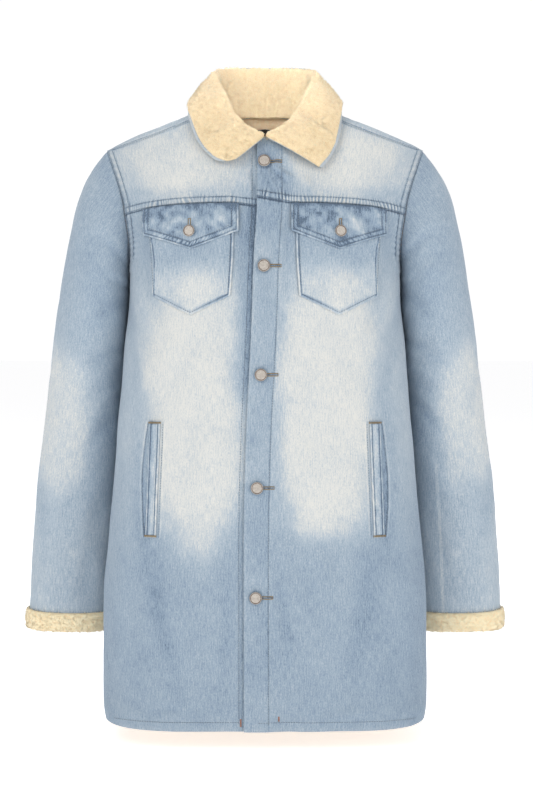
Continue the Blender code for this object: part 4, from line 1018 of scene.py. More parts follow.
# places round the sleeve (0 outside, front 0.09, inside 0.18, back below 0) and down it, in metres
sleeveCreases = {
    1: [(0.150, 0.02, 0.060, 0.13, 0.009, -0.0020, 0.010), (0.165, 0.05, 0.075, 0.19, 0.010, 0.0022, 0.012),
        (0.172, 0.09, 0.100, 0.24, 0.009, -0.0018, 0.008), (0.040, 0.02, 0.030, 0.15, 0.012, 0.0014, 0.004),
        (0.170, 0.22, 0.090, 0.31, 0.010, -0.0018, 0.008), (0.172, 0.28, 0.070, 0.36, 0.011, 0.0019, 0.010),
        (0.168, 0.33, 0.095, 0.42, 0.009, -0.0017, 0.006), (0.020, 0.30, 0.075, 0.40, 0.012, -0.0013, 0.006),
        (0.150, 0.42, 0.080, 0.55, 0.012, 0.0015, 0.008), (0.030, 0.45, 0.070, 0.60, 0.012, -0.0014, 0.006),
        (0.130, 0.52, 0.100, 0.64, 0.010, -0.0014, 0.004), (0.060, 0.56, 0.050, 0.66, 0.010, 0.0012, 0.003),
        (-0.030, 0.05, -0.100, 0.18, 0.012, -0.0020, 0.010),
        (-0.120, 0.10, -0.060, 0.26, 0.012, 0.0018, 0.010),
        (-0.140, 0.26, -0.040, 0.34, 0.011, -0.0022, 0.010),
        (-0.150, 0.33, -0.050, 0.41, 0.012, 0.0020, 0.008),
        (-0.040, 0.38, -0.120, 0.47, 0.012, -0.0016, 0.008),
        (-0.100, 0.50, -0.080, 0.64, 0.012, 0.0014, 0.004)],
    -1: [(0.152, 0.03, 0.070, 0.12, 0.010, -0.0018, 0.008), (0.168, 0.06, 0.080, 0.17, 0.010, 0.0021, 0.010),
         (0.170, 0.12, 0.090, 0.26, 0.010, -0.0020, 0.010), (0.030, 0.03, 0.045, 0.17, 0.012, 0.0013, -0.004),
         (0.168, 0.24, 0.080, 0.33, 0.011, -0.0019, 0.008), (0.174, 0.31, 0.100, 0.38, 0.009, 0.0017, 0.006),
         (0.165, 0.36, 0.085, 0.46, 0.010, -0.0016, 0.008), (0.025, 0.26, 0.085, 0.35, 0.012, -0.0014, 0.008),
         (0.140, 0.45, 0.090, 0.57, 0.012, 0.0016, 0.006), (0.040, 0.47, 0.060, 0.63, 0.011, -0.0013, 0.004),
         (0.120, 0.55, 0.105, 0.66, 0.010, -0.0013, 0.003), (0.070, 0.58, 0.055, 0.66, 0.010, 0.0012, 0.003),
         (-0.040, 0.04, -0.110, 0.16, 0.012, -0.0020, 0.010),
         (-0.110, 0.12, -0.050, 0.27, 0.012, 0.0018, 0.010),
         (-0.150, 0.27, -0.050, 0.35, 0.011, -0.0022, 0.010),
         (-0.140, 0.35, -0.040, 0.42, 0.012, 0.0020, 0.008),
         (-0.050, 0.40, -0.130, 0.48, 0.012, -0.0016, 0.008),
         (-0.090, 0.51, -0.070, 0.65, 0.012, 0.0014, 0.004)],
}


def sleevePlace(around, t):
    around = (np.asarray(around, float) + math.pi) % (2 * math.pi) - math.pi
    return around * arm["girth"], np.asarray(t, float) * arm["long"]


def sleeveRelief(around, t, sign):
    a, b = sleevePlace(around, t)
    ends = smoothStep(b / 0.012) * smoothStep((arm["cuffTop"] * arm["long"] - b) / 0.03)
    lift = creaseLift(a, b, sleeveCreases[sign]) * ends
    soft = 0.0008 * softNoise(np.cos(around) * 2.1 + 5, b / 0.05 + np.sin(around) * 2, 60 + sign)
    fine = 0.00035 * softNoise(np.cos(around) * 6 + 9, b / 0.020 + np.sin(around) * 5, 62 + sign)
    lift = lift + (soft + fine) * ends
    lift = lift + 0.00045 * gathers(around * 0.075, b, 0.0075, 0.010, 64) * np.abs(np.cos(around)) ** 0.1
    lift = lift + 0.0005 * gathers(around * 0.056, arm["cuffTop"] * arm["long"] - b, 0.013, 0.012, 66)
    return lift - 0.0011 * bell(b / 0.0030)


def sleeveFade(around, t, sign):
    a, b = sleevePlace(around, t)
    fadeAndShade = 0.41 + 0.05 * softNoise(a / 0.05, b / 0.08, 68) + 0.16 * smoothStep((b - 0.47) / 0.1)
    wander = 0.010 * softNoise(a / 0.03, b / 0.06, 69 + sign)
    middleB = 0.398 if sign < 0 else 0.392
    elbow = spot(a + wander, b + wander, 0.052, middleB, 0.052, 0.100, 0.11)
    fadeAndShade = fadeAndShade + (0.79 - fadeAndShade) * elbow
    fadeAndShade = fadeAndShade - 0.06 * bell((b - 0.015) / 0.02) - 0.08 * spot(a, b, 0.165, 0.10, 0.03, 0.12, 0.4)
    return fadeAndShade + (0.85 - fadeAndShade) * spot(a, b, -0.085, 0.340, 0.050, 0.11, 0.3)


def sleeveMarks(around, t, sign):
    a, b = sleevePlace(around, t)
    pucker = gathers(np.asarray(around) * 0.075, b * 0, 0.0075, 1.0, 64)
    wear = 0.10 * bell((b - 0.004) / 0.003) * (1 + pucker)
    # painted shade in the armhole seam's ditch and in the creases' troughs
    shade = 0.60 * bell(b / 0.0022)
    shade = shade + 0.20 * np.clip(-creaseLift(a, b, sleeveCreases[sign]) / 0.0022, 0, 1)
    seam = (a - 0.112) if sign > 0 else (a + 0.165)
    low = smoothStep((b - (0.44 if sign > 0 else 0.02)) / 0.02)
    wear = wear + 0.42 * bell(seam / 0.0014) * low
    under = 0.25 * bell((np.abs(a) - 0.1745) / 0.002)
    return np.clip(wear, 0, 1), np.clip(shade + under, 0, 1)


def makeSleeve(sideName, sign):
    columns, rows = 3 * int(round(168 * dense / 3)), third(225)
    around = np.linspace(0, 2 * math.pi, columns, endpoint=False)[None, :]
    t = np.linspace(0, arm["end"], rows)[:, None]
    relief = sleeveRelief(around, t, sign)
    outer = onSleeve(around, t, relief)
    inner = onSleeve(around[:, ::3], t[::3], relief[::3, ::3] - jacket["denim"])
    inner[0, :, 0] = np.maximum(inner[0, :, 0], outer[0, ::3, 0])
    wear, shade = sleeveMarks(around, t, sign)
    a, b = sleevePlace(around, t)
    marks = {"fadeAndShade": sleeveFade(around, t, sign), "wear": wear, "shade": shade,
             "clothPlace": clothPlace(a, b + 0.0 * a), "pileHeightAndShade": 0.5 + 0.0 * wear}
    flip = np.array([sign, 1, 1])
    shell = clothShell("sleeve" + sideName, outer * flip, inner * flip, [denim, lining], marks, True)
    piece = register(shell, "denim", "sleeve_" + sideName.lower())


sides = (("Left", 1), ("Right", -1))
for sideName, sign in sides:
    makeSleeve(sideName, sign)
print("sleeves made")


nubTable = np.random.default_rng(11).uniform(0, 1, (37, 37, 37, 4))


# rounded curls of the pile, from 0 in the valleys to 1 on the tips
def pileNubs(points, size, seed):
    cells = np.floor(points / size).astype(int)
    best = np.zeros(points.shape[:-1])
    for step in np.ndindex(3, 3, 3):
        at = cells + step - 1
        spots = nubTable[(at[..., 0] + seed) % 37, at[..., 1] % 37, at[..., 2] % 37]
        away = np.linalg.norm((at + spots[..., :3]) * size - points, axis=-1) / size
        reach = 0.62 + 0.30 * spots[..., 3]
        dome = np.sqrt(np.clip(1 - np.square(away / reach), 0, 1))
        best = np.maximum(best, dome * (0.7 + 0.3 * spots[..., 3]))
    return best


def curls(points):
    broad = pileNubs(points, 0.0046, 1)
    fine = pileNubs(points, 0.0025, 9)
    return broad, fine, np.clip(0.62 * broad + 0.38 * fine, 0, 1)


# loose fibres of the nap: each leaves the pile, curls over and ends close to it
napFaces = np.array([[0, 2, 1], [0, 3, 2], [0, 1, 3], [1, 2, 4], [2, 3, 4], [3, 1, 4]])


def makeNap(name, grid, outward, count, finish, seed):
    luck = np.random.default_rng(seed)
    count = int(count * dense)
    r = luck.integers(1, grid.shape[0] - 1, count)
    c = luck.integers(1, grid.shape[1] - 1, count)
    out = outward[r, c]
    root = grid[r, c] + (grid[r - 1, c - 1] - grid[r, c]) * luck.uniform(0, 1, (count, 1))
    root = root - out * 0.0008
    lean = unit(np.cross(out, luck.normal(size=(count, 3))))
    side = np.cross(out, lean)
    long, high = luck.uniform(0.0020, 0.0042, (count, 1)), luck.uniform(0.0004, 0.0020, (count, 1))
    bend = luck.uniform(-0.6, 0.6, (count, 1))
    middle = root + out * (high + 0.0006) + lean * long * 0.45 + side * long * bend * 0.2
    last = root + out * 0.0006 + lean * long + side * long * bend
    thick = luck.uniform(0.00026, 0.00044, (count, 1))
    ring = [middle + thick * (side * math.cos(angle) + out * math.sin(angle)) for angle in (0.3, 2.4, 4.5)]
    points = np.stack([root, *ring, last], 1).reshape(-1, 3)
    faces = (np.arange(count) * 5)[:, None, None] + napFaces[None]
    tone = np.repeat(luck.uniform(0.25, 1.0, count), 5)
    piece = newMesh(name, points, [faces.reshape(-1, 3)], [finish], None, {"pileHeightAndShade": tone})
    register(piece, "sherpa")


# the folded band's section, along the sleeve and out from it: over the outside, round the mouth
# and up inside, then back where the sleeve hides it
def cuffSection(count):
    near, far = jacket["gap"], jacket["gap"] + arm["cuffPile"]
    wall, top, low = jacket["denim"], arm["cuffTop"], arm["cuffLining"]
    corners = np.array([
        (top, near + 0.0006), (top + 0.001, far - 0.0016), (top + 0.004, far - 0.0003),
        (0.981, far + 0.0004), (0.994, far), (0.9985, far - 0.0016), (1.0, (near - wall) / 2),
        (0.9985, -wall - far + 0.0016), (0.994, -wall - far), (0.960, -wall - far),
        (low + 0.004, -wall - far + 0.0003), (low + 0.001, -wall - far + 0.0014),
        (low, -wall - near - 0.0006)])
    steps = np.linalg.norm(np.diff(corners * [arm["long"], 1], axis=0), axis=1)
    reach = np.concatenate([[0], np.cumsum(steps)])
    even = np.linspace(0, reach[-1], count)
    shown = np.stack([np.interp(even, reach, corners[:, k]) for k in (0, 1)], -1)
    past = arm["end"] + 0.001
    hidden = [(low + 0.012, -wall - near), (past, -wall - near), (past, near), (0.975, near)]
    return np.concatenate([shown, hidden])


cuffCut = {"flat": (0.31, 0.083), "fibres": 5500}


def makeCuff(sideName, sign):
    shown, columns = int(72 * dense) + 4, int(228 * dense)
    section = cuffSection(shown)
    around = np.linspace(0, 2 * math.pi, columns, endpoint=False)
    plain = onSleeve(around[None], section[:, :1], section[:, 1:])
    broad, fine, height = curls(plain)
    across, down = np.roll(plain, -1, 1) - np.roll(plain, 1, 1), np.roll(plain, -1, 0) - np.roll(plain, 1, 0)
    outward = unit(np.cross(across, down))
    if np.sum(outward[4] * (plain[4] - plain[:shown].mean(axis=(0, 1)))) < 0:
        outward = -outward
    soft = softNoise(np.cos(around) * 3 + 7, np.sin(around) * 3 + 5, 72)[None]
    lift = 0.0012 * (broad - 0.6) + 0.0006 * (fine - 0.5) + 0.0009 * soft
    lift[shown - 1 :] = 0
    lift[0] = 0
    flip = np.array([sign, 1, 1])
    rings = (plain + outward * lift[..., None]) * flip
    grid = np.arange(len(section) * columns).reshape(len(section), columns)
    below, right = np.roll(grid, -1, 0), np.roll(grid, -1, 1)
    quads = np.stack([grid, right, np.roll(right, -1, 0), below], -1).reshape(-1, 4)
    if sign > 0:
        quads = quads[:, ::-1]
    tone = 0.30 + 0.5 * height - 0.12 * (section[:, :1] > 0.995)
    marks = {"pileHeightAndShade": tone.reshape(-1)}
    piece = newMesh("cuff" + sideName, rings.reshape(-1, 3), [quads], [cuffPile], None, marks)
    register(piece, "sherpa", "cuff_" + sideName.lower())
    makeNap("cuffNap" + sideName, rings[:shown], outward[:shown] * flip, cuffCut["fibres"], napPile,
            31 + sign)


for sideName, sign in sides:
    makeCuff(sideName, sign)
print("cuffs made")

collarTable = {
    "s": [0, 0.16, 0.32, 0.42, 0.52, 0.66, 0.78, 0.89, 1.0],
    "bx": [0, 0.040, 0.070, 0.080, 0.083, 0.079, 0.063, 0.038, 0.012],
    "by": [0.066, 0.058, 0.036, 0.014, -0.010, -0.042, -0.069, -0.088, -0.094],
    "rx": [0, 0.041, 0.068, 0.070, 0.066, 0.056, 0.045, 0.028, 0.002],
    "ry": [0.072, 0.064, 0.041, 0.018, -0.006, -0.038, -0.066, -0.090, -0.104],
    "rz": [0.078, 0.077, 0.070, 0.060, 0.045, 0.022, -0.004, -0.026, -0.041],
    "ex": [0, 0.054, 0.092, 0.100, 0.101, 0.102, 0.098, 0.088, 0.074],
    "ey": [0.082, 0.076, 0.050, 0.026, 0, -0.045, -0.074, -0.089, -0.098],
}
rightLeaf = {"s": [0.66, 0.78, 0.89, 1.0], "ex": [0, -0.007, -0.017, -0.028],
             "ey": [0, -0.003, -0.004, -0.002]}
collar = {"clear": 0.0085, "seam": 0.0035, "fold": 0.0032, "stand": 0.38, "roll": 0.48, "fall": 0.064,
          "endWide": 0.26, "half": 1.010, "rightRound": 0.017, "leftRound": 0.005,
          "cut": (0.62, 0.119), "underCut": (0.62, 0.107), "fibres": 9500}


def collarForm(s, w):
    side, at = np.where(s < 0, -1.0, 1.0), np.abs(s)
    eased = at * (1 - bell(at / 0.07))  # flat across the centre back
    values = {}
    for name in ("bx", "by", "rx", "ry", "rz", "ex", "ey"):
        values[name] = smoothTable(collarTable, "s", name, at if name.endswith("x") else eased)
    ex = values["ex"] + np.where(s < 0, smoothTable(rightLeaf, "s", "ex", at), 0)
    ey = values["ey"] + np.where(s < 0, smoothTable(rightLeaf, "s", "ey", at), 0)
    flip = np.stack([side, side ** 2, side ** 2], -1)
    base = (bodyForm(*findAbove(values["bx"], values["by"]), 1) + [0, 0, collar["seam"]]) * flip
    rim = onBody(*findAbove(ex, ey), 1, collar["clear"]) * flip
    roll = np.stack([values["rx"], values["ry"], values["rz"]], -1) * flip
    rise = unit(roll - (base + rim) / 2)
    wide = rim - base
    wide = unit(wide - np.sum(wide * rise, -1, keepdims=True) * rise)
    centre = roll - rise * collar["fold"]
    start, end = centre - wide * collar["fold"], centre + wide * collar["fold"]
    stand = base + (start - base) * np.clip(w / collar["stand"], 0, 1)[..., None]
    rolled = np.clip((w - collar["stand"]) / (collar["roll"] - collar["stand"]), 0, 1)
    angle = math.pi * (1 - rolled)[..., None]
    bend = centre + collar["fold"] * (wide * np.cos(angle) + rise * np.sin(angle))
    control = end * 0.45 + rim * 0.55 + wide * 0.014 + rise * 0.006
    u = np.clip((w - collar["roll"]) / (1 - collar["roll"]), 0, 1)[..., None]
    fall = (1 - u) ** 2 * end + 2 * u * (1 - u) * control + u * u * rim
    w = w[..., None]
    return np.where(w < collar["stand"], stand, np.where(w < collar["roll"], bend, fall))


# the leaf's end is drawn in towards its tip, to round it
def collarGrid(rows, columns, inset):
    w = np.linspace(0, 1 - inset / collar["fall"], rows)[:, None]
    s = np.linspace(-collar["half"], collar["half"], columns)[None, :]
    toRim = np.clip((1 - w) * collar["fall"] * 1.25, 0, 1)
    cut = 0
    for radius, chosen in ((collar["rightRound"], s < 0), (collar["leftRound"], s >= 0)):
        depth = np.square(np.clip(radius - toRim, 0, radius))
        short = radius - np.sqrt(np.clip(radius ** 2 - depth, 0, None))
        cut = cut + chosen * short / collar["endWide"]
    s = s * (1 - cut * smoothStep((np.abs(s) - 0.55) / 0.45))
    return collarForm(s, w + 0.0 * s)


def outwardNormals(grid):
    out = unit(np.cross(np.gradient(grid, axis=1), np.gradient(grid, axis=0)))
    return -out if out[-1, grid.shape[1] // 2, 1] < 0 else out


# how fully the pile stands at this distance from its edge, from 0 to 1
def pileBulge(away, reach):
    return np.sqrt(np.clip(1 - np.square(1 - np.clip(away / reach, 0, 1)), 0, 1))


def makeCollarTop():
    plain = collarGrid(third(90), third(450), 0.0018)
    outward = outwardNormals(plain)
    bulge = pileBulge(borderAway(plain, "lrt"), 0.0050)
    broad, fine, height = curls(plain)
    up = np.linspace(0, 1, plain.shape[0])[:, None] + 0.0 * bulge
    tall = (0.0028 + 0.0016 * broad + 0.0006 * fine) * (0.12 + 0.88 * bulge)
    tall = tall + 0.0005 * softNoise(arcs(plain, 1) / 0.028, up * 5, 74) * bulge
    plain = plain - [0, 0, 0.0055] * smoothStep((plain[..., 2:] - 0.02) / 0.05)
    lip = smoothStep(1 - up / 0.07)[..., None] * (plain[..., 1:2] > -0.02)
    plain = plain + lip * (unit(plain * [-1, -1, 0]) * 0.0030 + [0, 0, -0.0075])  # hangs over the neck seam
    near = 2.5 * jacket["gap"]
    outer, inner = plain + outward * (near + tall)[..., None], plain + outward * near
    # painted light: the stand's inside, deep in the collar's shade, is made lighter
    tone = 0.38 + 0.42 * height * (0.4 + 0.6 * bulge) + 0.16 * smoothStep((0.46 - up) / 0.08)
    piece = clothShell("collarTop", outer, inner[::3, ::3], [sherpa, sherpa], {"pileHeightAndShade": tone})
    register(piece, "sherpa", "collar_top")
    makeNap("collarNap", outer, outward, collar["fibres"], napPile, 35)


def makeCollarUnder():
    plain = collarGrid(third(36), third(180), 0.0)
    outer = plain - outwardNormals(plain) * jacket["layer"]
    even = 0.0 * plain[..., 0]
    marks = {"fadeAndShade": 0.55 + even, "wear": 0.25 * bell(borderAway(plain, "lrt") / 0.003), "shade": even,
             "clothPlace": clothPlace(arcs(plain, 1), arcs(plain, 0))}
    made = clothShell("collarUnder", outer, plain[::3, ::3], [denim, denim], marks)
    piece = register(made, "denim", "collar_under")


neckPiece = {"from": 6, "to": 16, "cut": (0.20, 0.17), "area": 0.031}


def makeNeckLining():
    v = np.linspace(0, 1, third(84))
    turn, climb = backYokeGrid(np.linspace(neckPiece["from"], neckPiece["to"], third(111)), v)
    inside = -jacket["denim"] - jacket["gap"]
    plain = onBody(turn, climb, 1, inside)
    broad, fine, height = curls(plain)
    tall = (0.0030 + 0.0014 * broad + 0.0006 * fine) * (0.15 + 0.85 * pileBulge(borderAway(plain), 0.0040))
    raised = smoothStep((v[:, None] - 0.80) / 0.20) * smoothStep((0.072 - np.abs(plain[..., 0])) / 0.012)
    raised = 0.0125 * raised[..., None] * [0, 0, 1]  # its top runs up behind the stand's pile
    outer = onBody(turn, climb, 1, inside - tall) + raised
    inner = (plain + raised)[::3, ::3]
    piece = clothShell("neckLining", outer, inner, [lining, lining], {"pileHeightAndShade": 0.30 + 0.5 * height})
    register(piece, "sherpa", "neck_lining")


makeCollarTop()
makeCollarUnder()
makeNeckLining()
print("collar made")

tapeNode = frame["nodes"]["neck_tape"]
for place in tapeNode.material_slots:
    place.link = "OBJECT"
    place.material = tape

pocketShape = {"xIn": 0.041, "xOut": 0.1560, "top": -0.165, "side": -0.2515, "point": -0.2780, "taper": 0.004,
               "cut": (0.115, 0.115), "area": 0.0119, "rows": (0.0036, 0.0036), "ribs": 0, "edges": "lrbt"}
flapShape = {"xIn": 0.0345, "xOut": 0.1620, "top": -0.1298, "side": -0.1665, "point": -0.1898, "taper": 0.0,
             "cut": (0.128, 0.060), "area": 0.0069, "rows": (0.0030, 0.0092), "ribs": 1, "edges": "lrb"}


def straight(start, stop, v):
    return start * (1 - v[:, None]) + stop * v[:, None]


def pointedEdge(shape, u):
    x = shape["xIn"] + shape["taper"] + (shape["xOut"] - shape["xIn"] - 2 * shape["taper"]) * u
    return x, shape["side"] + (shape["point"] - shape["side"]) * (1 - np.abs(2 * u - 1))


def straightSided(bottom, top, u, v):
    return patchForm(bottom, top, straight(bottom[0], top[0], v), straight(bottom[-1], top[-1], v), u, v)


def pocketGrid(sign, rows, columns):
    u, v = np.linspace(0, 1, columns), np.linspace(0, 1, rows)
    x, z = pointedEdge(pocketShape, u)
    topX = pocketShape["xIn"] + (pocketShape["xOut"] - pocketShape["xIn"]) * u
    return straightSided(edgePoints(sign * x, z), edgePoints(sign * topX, pocketShape["top"]), u, v)


def flapGrid(sign, rows, columns):
    u, v = np.linspace(0, 1, columns), np.linspace(0, 1, rows)
    x, z = pointedEdge(flapShape, u)
    drop = yokeLine(x) - yokeLine(flapShape["xIn"])
    bottom, top = edgePoints(sign * x, z + drop / 2), edgePoints(sign * x, flapShape["top"] + drop)
    return straightSided(bottom, top, u, v)


def weltGrid(sign, rows, columns):
    u, v = np.linspace(0, 1, columns), np.linspace(0, 1, rows)
    z = weltShape["bottom"] + (weltShape["top"] - weltShape["bottom"]) * v
    middle = weltMiddle(z)
    left = edgePoints(sign * (middle - weltShape["wide"] / 2), z)
    right = edgePoints(sign * (middle + weltShape["wide"] / 2), z)
    return patchForm(straight(left[0], right[0], u), straight(left[-1], right[-1], u), left, right, u, v)


# how far a front's outer face stands off the form, then how far each small piece rises above its rest
def frontOut(x, z, over):
    return frontRelief(x, z, over) + (frontLap(x, z) if over else 0)


# soft folds across a flap: where it lies at flap sizes, u across and v up, each from 0 to 1
flapFolds = [(0.05, 0.30, 0.28, 0.85, 0.040, 0.0018), (0.20, 0.15, 0.40, 0.80, 0.035, -0.0014),
             (0.58, 0.85, 0.78, 0.20, 0.040, 0.0018), (0.70, 0.85, 0.95, 0.25, 0.045, -0.0015),
             (0.42, 0.45, 0.52, 0.95, 0.035, 0.0013), (0.30, 0.95, 0.38, 0.55, 0.030, 0.0012),
             (0.84, 0.95, 0.93, 0.50, 0.030, 0.0013)]


def pouchLift(x, z, _):
    return 0.0003 + 0.0009 * smoothStep((z + 0.25) / 0.06) + 0.0004 * softNoise(x / 0.02, z / 0.02, 88)


def weltLift(x, z, _):
    return 0.0004 + 0.0003 * softNoise(x / 0.01, z / 0.01, 89)


def flapLift(x, z, sign):
    u = (np.abs(x) - flapShape["xIn"]) / (flapShape["xOut"] - flapShape["xIn"])
    v = (z - flapShape["point"]) / (flapShape["top"] - flapShape["point"])
    folds = np.zeros(x.shape)
    for number, (u0, v0, u1, v1, wide, deep) in enumerate(flapFolds):
        if sign < 0:
            u0, u1 = u0 + 0.05 * math.sin(3 * number), u1 - 0.06 * math.cos(5 * number)
        length = math.hypot(u1 - u0, v1 - v0)
        along = ((u - u0) * (u1 - u0) + (v - v0) * (v1 - v0)) / length ** 2
        across = ((u - u0) * (v1 - v0) - (v - v0) * (u1 - u0)) / length
        folds = folds + deep * bell(across / wide) * bell((along - 0.5) / 0.55)
    ripple = 0.0005 * softNoise(u * 9, v * 5, 80 + sign)
    swell = 0.0012 * np.clip(1 - np.square(2 * u - 1), 0, 1) * np.clip(1 - v, 0, 1) * v * 4
    return 0.0006 + folds + ripple + swell


def smallPiece(name, node, grid, sign, rest, liftOf, fadeOf, shape):
    turn, climb = grid
    base = bodyForm(turn, climb, -1)
    x, z = base[..., 0], base[..., 2]
    away = borderAway(base, shape["edges"])
    lift = np.clip(liftOf(x, z, sign), -0.0002, 0.004)
    edge = bell(away / 0.0011)
    along = arcs(base, 1) + arcs(base, 0)
    rag = 0.55 + 0.45 * softNoise(along / 0.007, away / 0.01, 81)
    pull = 0.00030 * gathers(along, away - 0.0045, 0.0058, 0.0032, 83)
    out = frontOut(x, z, sign > 0) + rest + lift + pull - 0.0006 * edge
    outer = onBody(turn, climb, -1, out)
    inner = onBody(turn[::3, ::3], climb[::3, ::3], -1, out[::3, ::3] - jacket["layer"])
    first, last = shape["rows"]
    ribs = gathers(along, away, 0.0052, 1e3, 91) * shape["ribs"] * (away > first) * (away < last)
    wear = 0.66 * bell((away - 0.0012) / 0.0013) * rag
    wear = wear + (0.20 + 0.40 * ribs) * bell((away - (first + last) / 2) / 0.0025) * rag
    # painted shade at the lowered edge, in the pucker troughs and in the stitch rows' grooves
    shade = 0.25 * edge + 0.80 * np.clip(-ribs, 0, 1)
    shade = shade + 0.80 * (bell((away - first) / 0.00085) + bell((away - last) / 0.00085))
    # a painted shadow along a flap's top, under the yoke's edge
    shade = shade + 0.45 * np.exp(-borderAway(base, "t") / 0.0035) * (shape["edges"] == "lrb")
    marks = {"fadeAndShade": fadeOf(x, z, lift), "wear": np.clip(wear, 0, 1), "shade": shade,
             "clothPlace": clothPlace(x + 0.31, z), "pileHeightAndShade": 0.5 + 0.0 * shade}
    piece = register(clothShell(name, outer, inner, [denim, denim], marks), "denim", node)


def pouchFade(x, z, _):
    ax = np.abs(x)
    low = smoothStep((-0.195 - z) / 0.045)
    middle = bell((ax - 0.098) / 0.048)
    return 0.40 + 0.36 * low * middle + 0.10 * low + 0.05 * softNoise(x / 0.02, z / 0.03, 84)


def flapFade(x, z, lift):
    patches = softNoise(x / 0.011 + z / 0.02, z / 0.008, 85) + 0.6 * softNoise(x / 0.005, z / 0.006, 86)
    deeper = 0.12 * (x > 0) * (0.4 + 0.6 * smoothStep((0.130 - x) / 0.05))
    deeper = deeper + 0.06 * smoothStep((z + 0.155) / 0.02)
    return 0.29 - deeper + 0.24 * np.clip(patches, -0.7, 1.2) + 95 * np.clip(lift - 0.0010, -0.0012, 0.0022)


def weltFade(x, z, _):
    outer = smoothStep((np.abs(x) - weltMiddle(z) - 0.0005) / 0.0025)
    return 0.62 - 0.24 * outer + 0.12 * softNoise(x / 0.006, z / 0.012, 87)


rest = jacket["gap"] + jacket["layer"]
flapRest = 2 * rest + jacket["gap"]
for sideName, sign in sides:
    side = sideName.lower()
    smallPiece("chestPocket" + sideName, "chest_pocket_" + side, pocketGrid(sign, third(84), third(96)),
               sign, rest, pouchLift, pouchFade, pocketShape)
    smallPiece("pocketFlap" + sideName, "pocket_flap_" + side, flapGrid(sign, third(51), third(132)),
               sign, flapRest, flapLift, flapFade, flapShape)
    smallPiece("pocketWelt" + sideName, "pocket_welt_" + side, weltGrid(sign, third(90), third(18)),
               sign, rest, weltLift, weltFade, weltShape)
print("pockets made")

sewn = {}
chance = np.random.default_rng(23)
stitchThrees = np.array([[0, 1, 2], [0, 2, 3], [0, 3, 4], [0, 4, 1],
                         [9, 6, 5], [9, 7, 6], [9, 8, 7], [9, 5, 8]])
stitchFours = np.array([[1, 5, 6, 2], [2, 6, 7, 3], [3, 7, 8, 4], [4, 8, 5, 1]])


# a row of stitches along a line on the cloth: place gives points from u, v and a height above it
def sew(group, place, u, v, pitch=0.0034, share=0.76, wide=0.00042, high=0.00045):
    low, above = place(u, v, 0.0), place(u, v, 0.002)
    outward = unit(above - low)
    reach = np.concatenate([[0], np.cumsum(np.linalg.norm(np.diff(low, axis=0), axis=1))])
    count = max(1, int(reach[-1] / pitch))
    starts = (np.arange(count) + 0.12 + chance.uniform(-0.05, 0.05, count)) * reach[-1] / count
    long = share * reach[-1] / count * chance.uniform(0.92, 1.05, count)

    def at(spots, table):
        return np.stack([np.interp(spots, reach, table[:, k]) for k in range(3)], -1)

    first, last = at(starts, low), at(starts + long, low)
    out = unit(at(starts + long / 2, outward))
    side = unit(np.cross(out, last - first))
    points = [first - out * 0.0001]
    for spots in (0.2, 0.8):
        middle = at(starts + long * spots, low) + out * high * 0.5
        for dx, dz in ((1, 0), (0, 1), (-1, 0), (0, -1)):
            points.append(middle + side * wide * dx + out * high * 0.6 * dz)
    points.append(last - out * 0.0001)
    sewn.setdefault(group, []).append(np.stack(points, 1))


def finishSewing(group, finish):
    points = np.concatenate(sewn[group])
    firsts = (np.arange(len(points)) * 10)[:, None, None]
    faces = [(firsts + stitchThrees).reshape(-1, 3), (firsts + stitchFours).reshape(-1, 4)]
    register(newMesh(group, points.reshape(-1, 3), faces, [finish]), "denim")


def line(count, *ends):
    ends = np.array(ends, float)
    at = np.linspace(0, len(ends) - 1, count)
    return [np.interp(at, np.arange(len(ends)), ends[:, k]) for k in range(ends.shape[1])]


def onFront(over):
    return lambda x, z, lift: onBody(*findSeen(x, z), -1, frontOut(x, z, over) + lift)


def onBack(x, z, lift):
    return onBody(*findSeen(x, z), 1, backRelief(x, z) + lift)


def onPatch(sign, restLift, liftOf):
    def place(x, z, lift):
        base = restLift + np.clip(liftOf(x, z, sign), -0.0002, 0.004)
        return onBody(*findSeen(x, z), -1, frontOut(x, z, sign > 0) + base + lift)
    return place


def sewFront(group, sign, over):
    front = onFront(over)
    start = edgeX(-0.115) + 0.0008 + (0 if over else jacket["underLap"])
    x = np.linspace(start, sign * 0.1905, 160)
    for row in rowsAt["yoke"]:
        sew(group, front, x, yokeLine(x, over) + row, 0.0031)
    z = np.linspace(-0.202, -0.052, 90)
    for row in rowsAt["armhole"]:
        sew(group, front, sign * (armholeX(z) - row), z)
    x = np.linspace(sign * 0.104, sign * 0.2150, 80)
    sew(group, front, x, neckLine(x) - rowsAt["neck"])
    x = np.linspace(start, sign * 0.205, 150)
    sew(group, front, x, np.full(150, jacket["hemZ"] + rowsAt["hem"]))


def sewPouch(group, sign):
    shape, inset = pocketShape, pocketShape["rows"][0]
    middle, halfTop = (shape["xIn"] + shape["xOut"]) / 2, (shape["xOut"] - shape["xIn"]) / 2 - inset
    halfLow, top, side = halfTop - shape["taper"], shape["top"] - 0.003, shape["side"] + inset * 0.6
    tip = shape["point"] + inset * 1.1
    x, z = line(240, (middle - halfTop, top), (middle - halfLow, side), (middle, tip),
                (middle + halfLow, side), (middle + halfTop, top))
    sew(group, onPatch(sign, rest, pouchLift), sign * x, z)


def sewFlap(group, sign):
    shape = flapShape
    middle, fall = (shape["xIn"] + shape["xOut"]) / 2, yokeLine(shape["xOut"]) - yokeLine(shape["xIn"])
    for inset in shape["rows"]:
        left, right = shape["xIn"] + inset, shape["xOut"] - inset
        side, top = shape["side"] + inset * 0.9, shape["top"] - 0.001
        x, z = line(240, (left, top), (left, side), (middle, shape["point"] + inset * 1.12 + fall / 4),
                    (right, side + fall / 2), (right, top + fall))
        sew(group, onPatch(sign, flapRest, flapLift), sign * x, z)


def sewBar(group, place, x, z):
    sew(group, place, x, z, 0.0016, 0.9, 0.0003, 0.0008)


